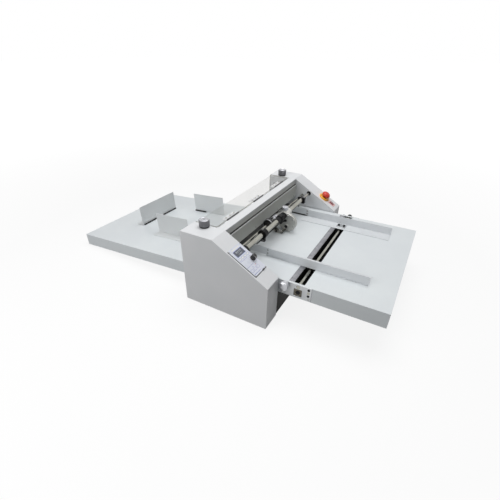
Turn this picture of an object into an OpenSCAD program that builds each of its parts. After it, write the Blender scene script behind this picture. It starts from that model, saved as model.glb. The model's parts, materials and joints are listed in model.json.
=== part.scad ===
// Desktop paper creasing machine: two housings joined by a beam, a feed table in front
// and a delivery table behind.
// Millimetres. +Y is the way a sheet travels, +Z is up, and +X is the operator's right.
// The origin is on the desk, under the middle of the whole machine.

/* [Housings] */
// Width across both housings
machine_w = 700; // [640:1:760]
// Width of one housing
housing_w = 73; // [70:0.5:84]
// Depth of a housing, front wall to rear wall
housing_d = 308; // [302:1:340]
// Height of a housing
housing_h = 265; // [260:1:280]
// Height of a housing's front wall
front_wall_h = 156; // [145:1:160]
// Depth taken by the sloping console of a housing
console_run = 188; // [182:1:196]
// Thickness of the housing sheet
shell_t = 2; // [1.5:0.1:2.5]
// Outside radius of the sheet's bends
bend_r = 3.5; // [3:0.1:5]
// Height of the rubber feet below the housings
foot_lift = 2; // [1.5:0.1:4]
// Diameter of a rubber foot
foot_d = 30; // [20:1:36]
// Thickness of the steel side frames
frame_t = 12; // [10:0.5:14]
// Distance from a housing's inner face to the middle of its side frame
frame_inset = 12.6; // [11:0.1:14]
// Thickness of the base tray
base_t = 3; // [2:0.1:4]

/* [Feed table] */
// How far the feed table reaches in front of the housings
feed_reach = 321; // [260:1:380]
// How far the feed table's pan runs in between the housings
feed_run_in = 165; // [155:1:170]
// Height of the feed table's top
table_z = 150; // [146:1:151]
// Height of the feed table's edge
table_h = 50; // [48:1:56]
// Gap between a table and the housing beside it
table_side_gap = 3; // [2:0.5:6]
// Thickness of the table sheet
table_t = 2; // [1.6:0.1:2.5]
// Distance from the housings forward to the middle of the guide slot
slot_reach = 63.5; // [60:0.5:90]
// Width of the guide slot
slot_w = 33; // [28:1:36]
// Distance from each end of the guide slot to the table's edge
slot_end = 6; // [5:1:12]
// Depth of the guide slot's channel
slot_depth = 44; // [40:1:45]
// Width of the scale strip beside the slot
scale_w = 17; // [10:1:20]
// Thickness of the scale strip
scale_t = 0.8; // [0.5:0.1:1.2]
// Diameter of the guide rod
guide_rod_d = 12; // [8:1:14]
// Depth of the guide rod's middle below the table top
guide_rod_drop = 9; // [8:0.5:12]

/* [Side guides] */
// Height of a side guide's blade
guide_h = 29; // [20:1:31]
// Thickness of the guide sheet
guide_t = 1.5; // [1:0.1:2]
// Width of a guide's foot
guide_foot_w = 50; // [40:1:56]
// Length of a guide's blade
guide_len = 336; // [280:1:350]
// How far a guide's blade runs in between the housings
guide_run_in = 94; // [80:1:100]
// Length of the plate that carries a blade on under the feed bar
guide_tail_len = 80; // [60:1:84]
// Height of that plate
guide_tail_h = 28; // [20:1:30]
// Gap under that plate
guide_tail_gap = 4; // [3:0.5:6]
// Place of the left guide's blade, left of the middle
left_guide_x = 176; // [150:1:190]
// Place of the right guide's blade, right of the middle
right_guide_x = 187; // [150:1:190]
// Length of the carriage under a guide
carriage_len = 40; // [30:1:44]

/* [Side knobs] */
// Diameter of the register knob
register_knob_d = 30; // [24:1:32]
// Length of the register knob
register_knob_len = 22; // [16:1:26]
// Distance from the housings forward to the register knob
register_knob_reach = 22; // [20:1:30]
// Diameter of the guide lock knob
lock_knob_d = 20; // [16:1:24]
// Length of the guide lock knob
lock_knob_len = 18; // [12:1:24]
// Thickness of the end plates on the table's sides
end_plate_t = 2; // [1.5:0.1:3]

/* [Feed unit] */
// Diameter of the feed bar
feed_bar_d = 18; // [16:1:20]
// Diameter of the feed bar's left end
feed_bar_end_d = 12; // [8:1:12]
// Diameter of the feed bar's right end
feed_bar_tail_d = 10; // [8:1:12]
// Distance from the housings' front to the feed bar
feed_bar_in = 122; // [118:1:124]
// Height of the feed bar
feed_bar_z = 212; // [210:1:213]
// Place of the shoulder where the feed bar steps down, right of the middle
feed_bar_shoulder_x = 205; // [195:1:225]
// Diameter of the feed shaft
feed_shaft_d = 10; // [8:1:12]
// Distance from the housings' front to the feed shaft
feed_shaft_in = 150; // [149:1:152]
// Height of the feed shaft
feed_shaft_z = 199; // [197:1:201]
// Diameter of the hand wheel on the feed shaft
feed_wheel_d = 40; // [30:1:41]
// Width of the hand wheel
feed_wheel_w = 14; // [8:1:16]
// Place of the hand wheel, left of the middle
feed_wheel_x = 51; // [46:1:60]
// Left side of the feed head, right of the middle
head_x = 15; // [10:1:20]
// Width of the feed head
head_w = 45; // [42:1:50]
// Thickness of a cheek of the feed head
cheek_t = 5; // [4:0.5:6]
// Diameter of a cheek's round part
cheek_d = 68; // [60:1:70]
// Distance from the housings' front to the middle of a cheek
cheek_in = 104; // [102:1:106]
// Height of the middle of a cheek
cheek_z = 188; // [187:1:190]
// Diameter of the pick-up roller
pickup_d = 38.6; // [37:0.1:39]
// Distance from the housings' front to the pick-up roller's axle
pickup_in = 108; // [106:1:110]
// Diameter of the pick-up roller's axle
pickup_axle_d = 8; // [6:1:10]
// Diameter of the two pulleys in the feed head
head_pulley_d = 18; // [14:1:19]
// Outside diameter of the clutch hub
clutch_d = 26; // [20:1:28]
// Diameter of the head's thumb knob
thumb_knob_d = 24; // [18:1:26]
// Height of the head's thumb knob
thumb_knob_h = 14; // [10:1:18]
// Place of the bar clamp, left of the middle
bar_clamp_x = 148; // [140:1:160]
// Diameter of the bar clamp
bar_clamp_d = 32; // [28:1:34]

/* [Creasing unit] */
// Distance from the housings' front to the creasing shafts
shaft_in = 257; // [256:1:258]
// Distance between the two creasing shafts
shaft_gap = 60; // [58:0.5:61]
// Diameter of a creasing shaft
shaft_d = 25; // [20:1:28]
// Width of the creasing disc's blade
crease_w = 1; // [0.6:0.1:1.2]
// How far the blade reaches past the line where the sheet runs
crease_depth = 0.8; // [0.4:0.1:1]
// Width of the groove under the blade
groove_w = 1.8; // [1.6:0.1:2.4]
// Depth of that groove
groove_depth = 2.2; // [2:0.1:3]
// Width of a pull roller
pull_roller_w = 25; // [15:1:30]
// Place of the outer pull rollers, each side of the middle
outer_roller_x = 200; // [180:1:220]
// Place of the inner pull rollers, each side of the middle
inner_roller_x = 90; // [70:1:120]
// Gap between the pull rollers of a pair
sheet_gap = 0.4; // [0.3:0.1:0.8]
// Width of the bearing blocks along the shafts
block_w = 20; // [18:1:22]
// Width of the window that the bearing blocks sit in
window_w = 68; // [64:1:70]
// Number of teeth on a shaft gear
gear_teeth = 30; // [24:1:36]
// Width of a shaft gear
gear_w = 15; // [10:1:18]
// Diameter of a pressure screw
pressure_screw_d = 10; // [8:1:10]
// Diameter of a pressure knob
pressure_knob_d = 34; // [26:1:36]
// Height of a pressure knob
pressure_knob_h = 25; // [18:1:30]

/* [Drive] */
// Distance from the housings' front to the motor's axis
motor_in = 110; // [100:1:116]
// Height of the motor's axis
motor_z = 50; // [49:1:52]
// Diameter of the motor
motor_d = 70; // [60:1:74]
// Length of the motor without its gearbox
motor_len = 110; // [90:1:130]
// Diameter of the motor's shaft
motor_shaft_d = 12; // [8:1:14]
// Diameter of the motor's pulley
motor_pulley_d = 32; // [26:1:36]
// Diameter of the pulley on the lower creasing shaft
drive_pulley_d = 64; // [56:1:66]
// Diameter of the two feed belt pulleys
feed_pulley_d = 36; // [30:1:38]
// Width of a belt
belt_w = 8; // [6:1:9]
// Thickness of a belt
belt_t = 2; // [1.5:0.1:2.5]

/* [Beam and cover] */
// Depth of the beam between the housings
beam_d = 30; // [28:1:31]
// Height of the beam's front panel
front_panel_h = 52; // [46:1:54]
// Height of the front panel's top edge
front_panel_top = 240; // [238:1:242]
// Thickness of the clear cover
cover_t = 3; // [2:0.5:4]
// Height of the clear cover's rear wall
cover_drop = 75; // [50:1:80]
// Outside radius of the clear cover's bend
cover_bend_r = 8; // [5:1:15]
// Diameter of the cover hinges' knuckles
knuckle_d = 6; // [5:0.5:7]
// Length of a cover hinge
hinge_len = 70; // [50:1:90]

/* [Console] */
// Width of the control panel
panel_w = 67; // [62:1:68]
// Length of the control panel up the slope
panel_len = 112; // [100:1:130]
// Distance up the slope to the control panel's lower edge
panel_up = 48; // [40:1:52]
// Thickness of the control panel
panel_t = 1.2; // [0.8:0.1:2]
// Diameter of the speed knob
speed_knob_d = 18; // [14:1:20]
// Height of the speed knob
speed_knob_h = 15; // [10:1:18]
// Distance up the slope to the speed knob
speed_knob_up = 96; // [90:1:104]
// Distance up the slope to the stop button
stop_up = 73; // [66:1:80]
// Diameter of the stop button's base
stop_base_d = 46; // [40:1:50]
// Diameter of the stop button's head
stop_head_d = 36; // [30:1:40]
// How far the stop button's head stands above the slope
stop_proud = 26; // [22:1:32]
// Distance up the slope to the power switch
switch_up = 31; // [28:1:36]
// Length of the power switch's rocker
rocker_len = 20; // [18:1:22]
// Width of the power switch's rocker
rocker_w = 13; // [10:1:14]

/* [Delivery table] */
// How far the delivery table reaches behind the housings
delivery_reach = 616; // [560:1:700]
// Height of the delivery table's top at the housings
delivery_z = 91.5; // [89:0.5:94]
// Height of the delivery table's top at its far end
delivery_end_z = 51; // [50:0.5:54]
// Gap under the far end of the delivery table
delivery_lift = 2; // [1.5:0.1:4]
// Distance from the housings back to the rear delivery stop
rear_stop_reach = 441; // [430:1:470]
// Distance from the housings back to the side delivery stops
side_stop_reach = 163; // [140:1:180]
// Place of the left delivery stop, left of the middle
left_stop_x = 118; // [116:1:140]
// Place of the right delivery stop, right of the middle
right_stop_x = 140; // [138:1:160]
// Height of a delivery stop
stop_h = 85; // [60:1:90]
// Length of a side delivery stop
side_stop_len = 165; // [120:1:180]
// Width of the rear delivery stop
rear_stop_w = 224; // [180:1:230]
// Width of a delivery stop's foot
stop_foot = 38; // [30:1:44]
// Thickness of the stop sheet
stop_t = 1.5; // [1:0.1:2]
// Thickness of the magnet strips
magnet_t = 5; // [3:0.5:7]

/* [Fits] */
// Radial clearance of a shaft that turns or slides in a hole
run_gap = 0.05; // [0.02:0.01:0.1]
// Clearance between pieces that move past each other
move_gap = 0.3; // [0.3:0.05:0.5]

/* [Hidden] */

$fn = 64;
eps = 1;
arc_steps = 5;

// Main places
front_y = (feed_reach - housing_d - delivery_reach) / 2;
rear_y = front_y + housing_d;
end_y = rear_y + delivery_reach;
outer_x = machine_w / 2;
inner_x = outer_x - housing_w;
table_x = inner_x - table_side_gap;
console_angle = atan2(housing_h - front_wall_h, console_run);
frame_x = inner_x + frame_inset;
frame_in_x = frame_x - frame_t / 2;
frame_out_x = frame_x + frame_t / 2;
cover_out_x = inner_x + shell_t;
base_z = foot_lift + base_t;
base_top_z = base_z + base_t;
frame_margin = shell_t + move_gap;
hole_gap = 0.2;

// Feed places
slot_y = front_y - slot_reach;
slot_x = table_x - slot_end;
guide_rod_z = table_z - guide_rod_drop;
guide_z = table_z + move_gap;
feed_bar_y = front_y + feed_bar_in;
feed_shaft_y = front_y + feed_shaft_in;
cheek_y = front_y + cheek_in;
pickup_y = front_y + pickup_in;
pickup_z = table_z + pickup_d / 2 + 0.7;
head_belt_x = head_x + cheek_t + 3;
register_y = front_y - register_knob_reach;
register_z = table_z - 10;

head_hub_d = feed_bar_d + 12;
head_right_x = head_x + head_w;
thumb_x = head_x + 12;
thumb_screw_d = 6;
thumb_z = feed_bar_z + head_hub_d / 2 + 3;
sleeve_d = feed_shaft_d + 5;
bush_d = feed_shaft_d + 6;
register_shaft_d = 8;

// Creasing places
shaft_y = front_y + shaft_in;
lower_z = table_z - shaft_gap / 2;
upper_z = table_z + shaft_gap / 2;
tool_r = shaft_gap / 2;
gear_module = shaft_gap / gear_teeth;
block_h = shaft_gap - 2 * move_gap;
window_low_z = lower_z - block_h / 2 - move_gap;
window_top_z = upper_z + block_h / 2 + 20;
gear_x = frame_out_x + 16;
drive_belt_x = frame_out_x + 9;
feed_belt_x = drive_belt_x + belt_w + 6;
motor_y = front_y + motor_in;
motor_face_x = inner_x - 6;
gearbox_w = 40;
gearbox_x = motor_face_x - gearbox_w;
motor_seat_x = motor_face_x - gearbox_w / 2;

// Beam and cover places
beam_front_y = front_y + console_run;
beam_rear_y = beam_front_y + beam_d - 1;
core_front_y = beam_front_y + 1;
core_rear_y = beam_rear_y - 3;
hinge_y = beam_rear_y + knuckle_d / 2;
hinge_z = housing_h + 0.5;
cover_front_y = hinge_y + knuckle_d / 2 + move_gap;
hinge_places = [-178, 0, 178];
hinge_pin_d = 3;
leaf_t = 1.5;
beam_low_z = front_panel_top - front_panel_h + 2;
beam_top_z = housing_h - shell_t;
cover_x = frame_x - pressure_knob_d / 2 - 1;

// Console places
console_x = outer_x - 36;
speed_knob_x = inner_x + 14.7;
speed_shaft_d = 6;
display_x = outer_x - 39;
display_w = 38;
display_len = 16;
display_up = panel_up + 81;
stop_barrel_d = 22;
stop_stem_d = 12;
stop_travel = 5;
rocker_pin_d = 3;
rocker_tilt = 8;
bezel_body_w = rocker_w + 4;
bezel_body_len = rocker_len + 4;
inlet_x = outer_x - 36;
inlet_w = 27;
inlet_h = 20;
inlet_z = 40;
inlet_depth = 18;

// Delivery places
delivery_front_y = rear_y - 15;
delivery_fall = (delivery_z - delivery_end_z) / delivery_reach;
delivery_tilt = atan(delivery_fall);
delivery_h = delivery_end_z - delivery_lift;
function delivery_top(y) = delivery_z - (y - rear_y) * delivery_fall;
rear_stop_y = rear_y + rear_stop_reach;
side_stop_y = rear_y + side_stop_reach;

// Points of an arc that rounds corner b between a and c
function unit(v) = v / norm(v);
function corner(a, b, c, r) =
    let (
        u = unit(a - b),
        v = unit(c - b),
        half = acos(u * v) / 2,
        centre = b + unit(u + v) * r / sin(half),
        first = b + u * r / tan(half) - centre,
        last = b + v * r / tan(half) - centre,
        start = atan2(first.y, first.x),
        sweep = (atan2(last.y, last.x) - start + 540) % 360 - 180
    )
    [for (k = [0:arc_steps]) let (a = start + sweep * k / arc_steps) centre + r * [cos(a), sin(a)]];

// An outline with every corner rounded, and one moved inwards by a distance
function rounded(p, r) =
    [for (i = [0:len(p) - 1]) each corner(p[(i + len(p) - 1) % len(p)], p[i], p[(i + 1) % len(p)], r)];
function inset(p, d) =
    [for (i = [0:len(p) - 1])
        let (
            b = p[i],
            u = unit(p[(i + len(p) - 1) % len(p)] - b),
            v = unit(p[(i + 1) % len(p)] - b)
        )
        b + unit(u + v) * d / sin(acos(u * v) / 2)];

// Outline of a housing seen from its side, down to a floor height, and of what fits inside its sheet
function housing_outline(floor_z) = [
    [front_y, floor_z],
    [rear_y, floor_z],
    [rear_y, housing_h],
    [front_y + console_run, housing_h],
    [front_y, front_wall_h]
];

function inner_outline(floor_z) =
    rounded(inset(housing_outline(floor_z - frame_margin), frame_margin), bend_r - frame_margin);

// Extrudes an outline drawn in Y and Z along X
module along_x(x0, x1) {
    translate([x0, 0, 0])
        rotate([90, 0, 90])
            linear_extrude(x1 - x0)
                children();
}

// A round bar along X, at a place in Y and Z
module rod_x(x0, x1, y, z, d) {
    translate([x0, y, z])
        rotate([0, 90, 0])
            cylinder(h = x1 - x0, d = d);
}

module block(low, high) {
    translate(low)
        cube(high - low);
}

module both_sides() {
    children();
    mirror([1, 0, 0])
        children();
}

// Puts a shape on the sloping console: X stays, Y runs up the slope, Z stands off it
module on_console() {
    translate([0, front_y, front_wall_h])
        rotate([console_angle, 0, 0])
            children();
}

// Puts a shape on the delivery table's sloping top at a place in Y
module on_delivery(y) {
    translate([0, y, delivery_top(y)])
        rotate([-delivery_tilt, 0, 0])
            children();
}

// A toothed wheel with straight flanks and free play, on an axis along X
function tooth(k, turn) =
    let (
        pitch = 360 / gear_teeth,
        a = k * pitch + turn,
        pitch_r = gear_teeth * gear_module / 2,
        root_r = pitch_r - 1.25 * gear_module,
        tip_r = pitch_r + 0.9 * gear_module
    )
    [
        root_r * [cos(a - 0.26 * pitch), sin(a - 0.26 * pitch)],
        tip_r * [cos(a - 0.08 * pitch), sin(a - 0.08 * pitch)],
        tip_r * [cos(a + 0.08 * pitch), sin(a + 0.08 * pitch)],
        root_r * [cos(a + 0.26 * pitch), sin(a + 0.26 * pitch)]
    ];
module gear(turn) {
    polygon([for (k = [0:gear_teeth - 1]) each tooth(k, turn)]);
}

// A belt pulley with two flanges, on an axis along X
module pulley(x, w, y, z, d) {
    flange_w = 1.5;
    flange_d = d + 2 * belt_t + 2;
    rod_x(x - flange_w, x + w + flange_w, y, z, d);
    rod_x(x - flange_w, x - move_gap, y, z, flange_d);
    rod_x(x + w + move_gap, x + w + flange_w, y, z, flange_d);
}

// The loop between two circles, for a belt that runs round them
module loop_outline(p, r1, q, r2) {
    reach = norm(q - p);
    aim = atan2(q.y - p.y, q.x - p.x);
    lean = acos((r1 - r2) / reach);
    polygon(concat(
        [for (k = [0:24]) let (a = aim + lean + (360 - 2 * lean) * k / 24) p + r1 * [cos(a), sin(a)]],
        [for (k = [0:24]) let (a = aim - lean + 2 * lean * k / 24) q + r2 * [cos(a), sin(a)]]
    ));
}
module belt(x, w, t, p, r1, q, r2) {
    along_x(x, x + w)
        difference() {
            loop_outline(p, r1 + move_gap + t, q, r2 + move_gap + t);
            loop_outline(p, r1 + move_gap, q, r2 + move_gap);
        }
}

// Housings, frames and base

module housing_shell() {
    difference() {
        along_x(inner_x, outer_x)
            polygon(rounded(housing_outline(foot_lift), bend_r));
        along_x(inner_x - eps, outer_x - shell_t)
            polygon(rounded(inset(housing_outline(foot_lift - 10), shell_t), bend_r - shell_t));
        translate([frame_x, shaft_y, housing_h - shell_t - eps])
            cylinder(h = shell_t + 2 * eps, d = pressure_screw_d + 2);
    }
}

module left_housing() {
    color("whitesmoke")
        difference() {
            mirror([1, 0, 0])
                housing_shell();
            on_console() {
                translate([-speed_knob_x, speed_knob_up, -shell_t - eps])
                    cylinder(h = shell_t + 2 * eps, d = speed_shaft_d + 3);
                block([-display_x - display_w / 2, display_up, -shell_t - eps],
                    [-display_x + display_w / 2, display_up + display_len, eps]);
            }
        }
}

module right_housing() {
    color("whitesmoke")
        difference() {
            housing_shell();
            on_console() {
                translate([console_x, stop_up, -shell_t - eps])
                    cylinder(h = shell_t + 2 * eps, d = stop_barrel_d + 2 * hole_gap);
                translate([console_x, switch_up, 0])
                    block([-bezel_body_w / 2 - hole_gap, -bezel_body_len / 2 - hole_gap, -shell_t - eps],
                        [bezel_body_w / 2 + hole_gap, bezel_body_len / 2 + hole_gap, eps]);
            }
            translate([inlet_x, rear_y, inlet_z])
                block([-inlet_w / 2 - hole_gap, -shell_t - eps, -inlet_h / 2 - hole_gap],
                    [inlet_w / 2 + hole_gap, eps, inlet_h / 2 + hole_gap]);
        }
}

// Cut-outs that the shafts, the beam and the blocks need in a side wall
module shaft_window() {
    block([inner_x - eps, shaft_y - window_w / 2, window_low_z],
        [frame_out_x + eps, shaft_y + window_w / 2, window_top_z]);
}

module inner_covers() {
    tab_w = inner_x - cover_x + 4;
    ledge_t = 2;
    color("whitesmoke")
        both_sides() {
            difference() {
                along_x(inner_x, cover_out_x)
                    polygon(inner_outline(base_top_z));
                shaft_window();
                rod_x(inner_x - eps, cover_out_x + eps, feed_bar_y, feed_bar_z, feed_bar_d + 1);
                rod_x(inner_x - eps, cover_out_x + eps, feed_shaft_y, feed_shaft_z, feed_shaft_d + 2);
                rod_x(inner_x - eps, cover_out_x + eps, motor_y, motor_z, motor_shaft_d + 4);
                block([inner_x - eps, beam_front_y - move_gap, beam_low_z - move_gap],
                    [cover_out_x + eps, core_rear_y + move_gap, beam_top_z + move_gap]);
                table_bosses(1);
            }
            block([inner_x - tab_w, rear_y - 25, housing_h - cover_t - move_gap - ledge_t],
                [inner_x, rear_y - 10, housing_h - cover_t - move_gap]);
        }
}

// Bosses on a side frame that the two tables bolt to
module table_bosses(gap) {
    boss_d = 10 + gap;
    feed_boss_z = table_z - table_h / 2;
    for (y = [front_y + 30, front_y + 120])
        rod_x(table_x, frame_in_x + 0.1, y, feed_boss_z, boss_d);
    rod_x(table_x, frame_in_x + 0.1, delivery_front_y + 6, delivery_top(rear_y) - delivery_h / 2, boss_d);
}

module side_frames() {
    notch = speed_knob_d / 2 + 4;
    color("dimgray")
        both_sides() {
            difference() {
                along_x(frame_in_x, frame_out_x)
                    polygon(inner_outline(base_top_z));
                shaft_window();
                translate([frame_x, shaft_y, window_top_z - eps])
                    cylinder(h = housing_h - window_top_z, d = pressure_screw_d + 2 * run_gap);
                rod_x(frame_in_x - eps, frame_out_x + eps, feed_bar_y, feed_bar_z, feed_bar_end_d);
                rod_x(frame_in_x - eps, frame_out_x + eps, feed_shaft_y, feed_shaft_z, bush_d);
                rod_x(frame_in_x - eps, frame_out_x + eps, motor_y, motor_z, motor_shaft_d + 4);
                on_console()
                    block([frame_in_x - eps, speed_knob_up - notch, -20],
                        [frame_out_x + eps, speed_knob_up + notch, 5]);
            }
            table_bosses(0);
        }
}

module base_tray() {
    tray_x = outer_x - frame_margin;
    lip_y = rear_y - frame_margin - base_t;
    color("dimgray") {
        block([-tray_x, front_y + frame_margin, base_z], [tray_x, rear_y - frame_margin, base_top_z]);
        block([-inner_x + move_gap, lip_y, base_z],
            [inner_x - move_gap, lip_y + base_t, delivery_top(lip_y + base_t) - delivery_h - move_gap]);
    }
}

module front_apron() {
    half_w = inner_x - move_gap;
    apron_t = 2;
    apron_y = front_y + 3;
    flange = 14;
    color([0.1, 0.1, 0.11]) {
        block([-half_w, apron_y, base_top_z], [half_w, apron_y + apron_t, table_z - table_h]);
        block([-half_w, apron_y, table_z - table_h - apron_t], [half_w, apron_y + flange, table_z - table_h]);
    }
}

module rubber_feet() {
    color([0.1, 0.1, 0.1]) {
        for (x = [-1, 1], y = [front_y + 35, rear_y - 35])
            translate([x * (outer_x - 30), y, 0])
                cylinder(h = base_z, d = foot_d);
        difference() {
            for (x = [-1, 1])
                translate([x * (table_x - 35), end_y - 30, 0])
                    cylinder(h = delivery_lift + foot_d, d = foot_d);
            delivery_body(table_x);
        }
    }
}

// Beam between the housings

module beam_core() {
    wall = 3;
    color([0.25, 0.26, 0.27])
        along_x(-frame_in_x, frame_in_x)
            difference() {
                translate([core_front_y, beam_low_z])
                    square([core_rear_y - core_front_y, beam_top_z - beam_low_z]);
                translate([core_front_y + wall, beam_low_z + wall])
                    square([core_rear_y - core_front_y - 2 * wall, beam_top_z - beam_low_z - 2 * wall]);
            }
}

module beam_top_cover() {
    front_lip = 5;
    rear_lip = 24;
    lip_y = beam_front_y - 1.8;
    color("white")
        along_x(-inner_x + move_gap, inner_x - move_gap)
            polygon([
                [lip_y, housing_h - front_lip],
                [lip_y, housing_h],
                [beam_rear_y, housing_h],
                [beam_rear_y, housing_h - rear_lip],
                [beam_rear_y - 1.5, housing_h - rear_lip],
                [beam_rear_y - 1.5, housing_h - shell_t],
                [lip_y + 1.5, housing_h - shell_t],
                [lip_y + 1.5, housing_h - front_lip]
            ]);
}

module beam_front_panel() {
    panel_y = beam_front_y - 7;
    sheet = 1.5;
    lower_flange = 5;
    low_z = front_panel_top - front_panel_h;
    color("silver")
        along_x(-inner_x + move_gap, inner_x - move_gap)
            polygon([
                [panel_y, low_z],
                [panel_y, front_panel_top],
                [core_front_y, front_panel_top],
                [core_front_y, front_panel_top - sheet],
                [panel_y + sheet, front_panel_top - sheet],
                [panel_y + sheet, low_z + sheet],
                [core_front_y + lower_flange, low_z + sheet],
                [core_front_y + lower_flange, low_z]
            ]);
}

// Feed table

module feed_table() {
    low_z = table_z - table_h;
    front = front_y - feed_reach;
    back = front_y + feed_run_in;
    tongue_y = shaft_y - tool_r - 2;
    color("whitesmoke")
        difference() {
            union() {
                difference() {
                    block([-table_x, front, low_z], [table_x, back, table_z]);
                    block([-table_x + table_t, front + table_t, low_z - eps],
                        [table_x - table_t, back - table_t, table_z - table_t]);
                }
                block([-table_x, back - table_t, table_z - table_t], [table_x, tongue_y, table_z]);
            }
            block([-slot_x, slot_y - slot_w / 2, table_z - table_t - eps],
                [slot_x, slot_y + slot_w / 2, table_z + eps]);
            block([-slot_x, slot_y + slot_w / 2 - eps, table_z - scale_t],
                [slot_x, slot_y + slot_w / 2 + scale_w, table_z + eps]);
            rod_x(-table_x - eps, table_x + eps, slot_y, guide_rod_z, guide_rod_d + 2 * run_gap);
            rod_x(-table_x - eps, 0, register_y, register_z, register_shaft_d + 2 * run_gap);
            rod_window();
        }
}

// Square window in the left side of the table and its end plate
module rod_window() {
    window = 26;
    top_z = guide_rod_z - guide_rod_d / 2 - 1;
    block([-table_x - end_plate_t - eps, slot_y - window / 2, top_z - window],
        [-table_x + table_t + eps, slot_y + window / 2, top_z]);
}

module slot_channel() {
    wall = 1.5;
    top_z = table_z - table_t;
    channel_x = table_x - table_t;
    half_w = slot_w / 2 + wall;
    color([0.12, 0.12, 0.12])
        along_x(-channel_x, channel_x)
            polygon([
                [slot_y - half_w, top_z],
                [slot_y - half_w, top_z - slot_depth],
                [slot_y + half_w, top_z - slot_depth],
                [slot_y + half_w, top_z],
                [slot_y + half_w - wall, top_z],
                [slot_y + half_w - wall, top_z - slot_depth + wall],
                [slot_y - half_w + wall, top_z - slot_depth + wall],
                [slot_y - half_w + wall, top_z]
            ]);
}

module slot_scale() {
    color("silver")
        block([-slot_x, slot_y + slot_w / 2, table_z - scale_t],
            [slot_x, slot_y + slot_w / 2 + scale_w, table_z]);
}

module guide_rod() {
    color("gainsboro")
        rod_x(-table_x - end_plate_t, table_x + end_plate_t, slot_y, guide_rod_z, guide_rod_d);
}

module slot_end_plates() {
    low_z = table_z - table_h + 3;
    bolt_d = 14;
    bolt_len = 10;
    color("silver") {
        difference() {
            block([-table_x - end_plate_t, slot_y - 42, low_z], [-table_x, front_y - 8, table_z]);
            rod_x(-table_x - end_plate_t - eps, 0, slot_y, guide_rod_z, guide_rod_d + 2 * run_gap);
            rod_x(-table_x - end_plate_t - eps, 0, register_y, register_z, register_shaft_d + 2 * run_gap);
            rod_window();
        }
        difference() {
            block([table_x, slot_y - 42, low_z], [table_x + end_plate_t, front_y - 8, table_z]);
            rod_x(table_x - eps, table_x + end_plate_t + eps, slot_y, guide_rod_z, guide_rod_d + 2 * run_gap);
        }
        rod_x(table_x, table_x + end_plate_t + bolt_len, slot_y + 23, guide_rod_z, bolt_d);
    }
}

module table_bottom_plates() {
    low_z = table_z - table_h;
    fit = 0.2;
    front = delivery_front_y + table_t + fit;
    back = end_y - table_t - fit;
    color("silver") {
        block([-table_x + table_t + fit, front_y - feed_reach + table_t + fit, low_z],
            [table_x - table_t - fit, front_y + feed_run_in - table_t - fit, low_z + table_t]);
        along_x(-table_x + table_t + fit, table_x - table_t - fit)
            polygon([
                for (p = [[front, 0], [back, 0], [back, table_t], [front, table_t]])
                    [p.x, delivery_top(p.x) - delivery_h + p.y]
            ]);
    }
}

// Side guides: a blade with a foot towards the middle, and a plate that carries it on under the feed bar

module side_guide(x) {
    back = front_y + guide_run_in;
    tail_y = back - 10;
    tail_z = guide_z + guide_tail_gap;
    block([x - guide_t, back - guide_len, guide_z], [x, back, guide_z + guide_h]);
    block([x - guide_foot_w, back - guide_len, guide_z], [x, back, guide_z + guide_t]);
    block([x, tail_y, tail_z], [x + guide_t, tail_y + guide_tail_len, tail_z + guide_tail_h]);
}
module left_side_guide() {
    color("lightgray")
        mirror([1, 0, 0])
            side_guide(left_guide_x);
}
module right_side_guide() {
    color("lightgray")
        side_guide(right_guide_x);
}

module guide_carriage(x) {
    side_play = 2;
    high = guide_rod_z + guide_rod_d / 2 + 2;
    difference() {
        union() {
            block([x - 5 - carriage_len, slot_y - slot_w / 2 + side_play, guide_rod_z - guide_rod_d / 2 - 5],
                [x - 5, slot_y + slot_w / 2 - side_play, high]);
            block([x - 10 - carriage_len / 2, slot_y - slot_w / 4, high],
                [x - 10, slot_y + slot_w / 4, guide_z]);
        }
        rod_x(x - 6 - carriage_len, x, slot_y, guide_rod_z, guide_rod_d + 2 * run_gap);
    }
}
module left_guide_carriage() {
    color([0.15, 0.15, 0.16])
        mirror([1, 0, 0])
            guide_carriage(left_guide_x);
}
module right_guide_carriage() {
    color([0.15, 0.15, 0.16])
        guide_carriage(right_guide_x);
}

module register_knob() {
    face_x = table_x + end_plate_t + move_gap;
    grip = 14;
    color("silver")
        mirror([1, 0, 0]) {
            rod_x(face_x, face_x + register_knob_len, register_y, register_z, register_knob_d - 4);
            rod_x(face_x + register_knob_len - grip, face_x + register_knob_len - 1, register_y, register_z,
                register_knob_d);
            rod_x(table_x - 12, face_x + eps, register_y, register_z, register_shaft_d);
        }
}

module guide_lock_knob() {
    face_x = table_x + end_plate_t + move_gap;
    color([0.08, 0.08, 0.08])
        rod_x(face_x, face_x + lock_knob_len, slot_y, guide_rod_z, lock_knob_d);
}

// Feed unit

module feed_bar() {
    color("gainsboro") {
        rod_x(-frame_out_x, -inner_x + eps, feed_bar_y, feed_bar_z, feed_bar_end_d);
        rod_x(-inner_x, feed_bar_shoulder_x, feed_bar_y, feed_bar_z, feed_bar_d);
        rod_x(feed_bar_shoulder_x - eps, frame_out_x, feed_bar_y, feed_bar_z, feed_bar_tail_d);
    }
}

module bar_end_collars() {
    collar_w = 12;
    collar_d = feed_bar_d + 8;
    clamp = feed_bar_d + 10;
    color([0.12, 0.12, 0.12]) {
        difference() {
            union() {
                rod_x(-inner_x, -inner_x + collar_w, feed_bar_y, feed_bar_z, collar_d);
                block([feed_bar_shoulder_x - 16, feed_bar_y - clamp / 2, feed_bar_z - clamp / 2],
                    [feed_bar_shoulder_x, feed_bar_y + clamp / 2, feed_bar_z + clamp / 2 - 3]);
            }
            rod_x(-inner_x - eps, feed_bar_shoulder_x + eps, feed_bar_y, feed_bar_z, feed_bar_d);
        }
        difference() {
            rod_x(inner_x, frame_out_x, feed_bar_y, feed_bar_z, feed_bar_end_d);
            rod_x(inner_x - eps, frame_out_x + eps, feed_bar_y, feed_bar_z, feed_bar_tail_d);
        }
    }
}

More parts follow.
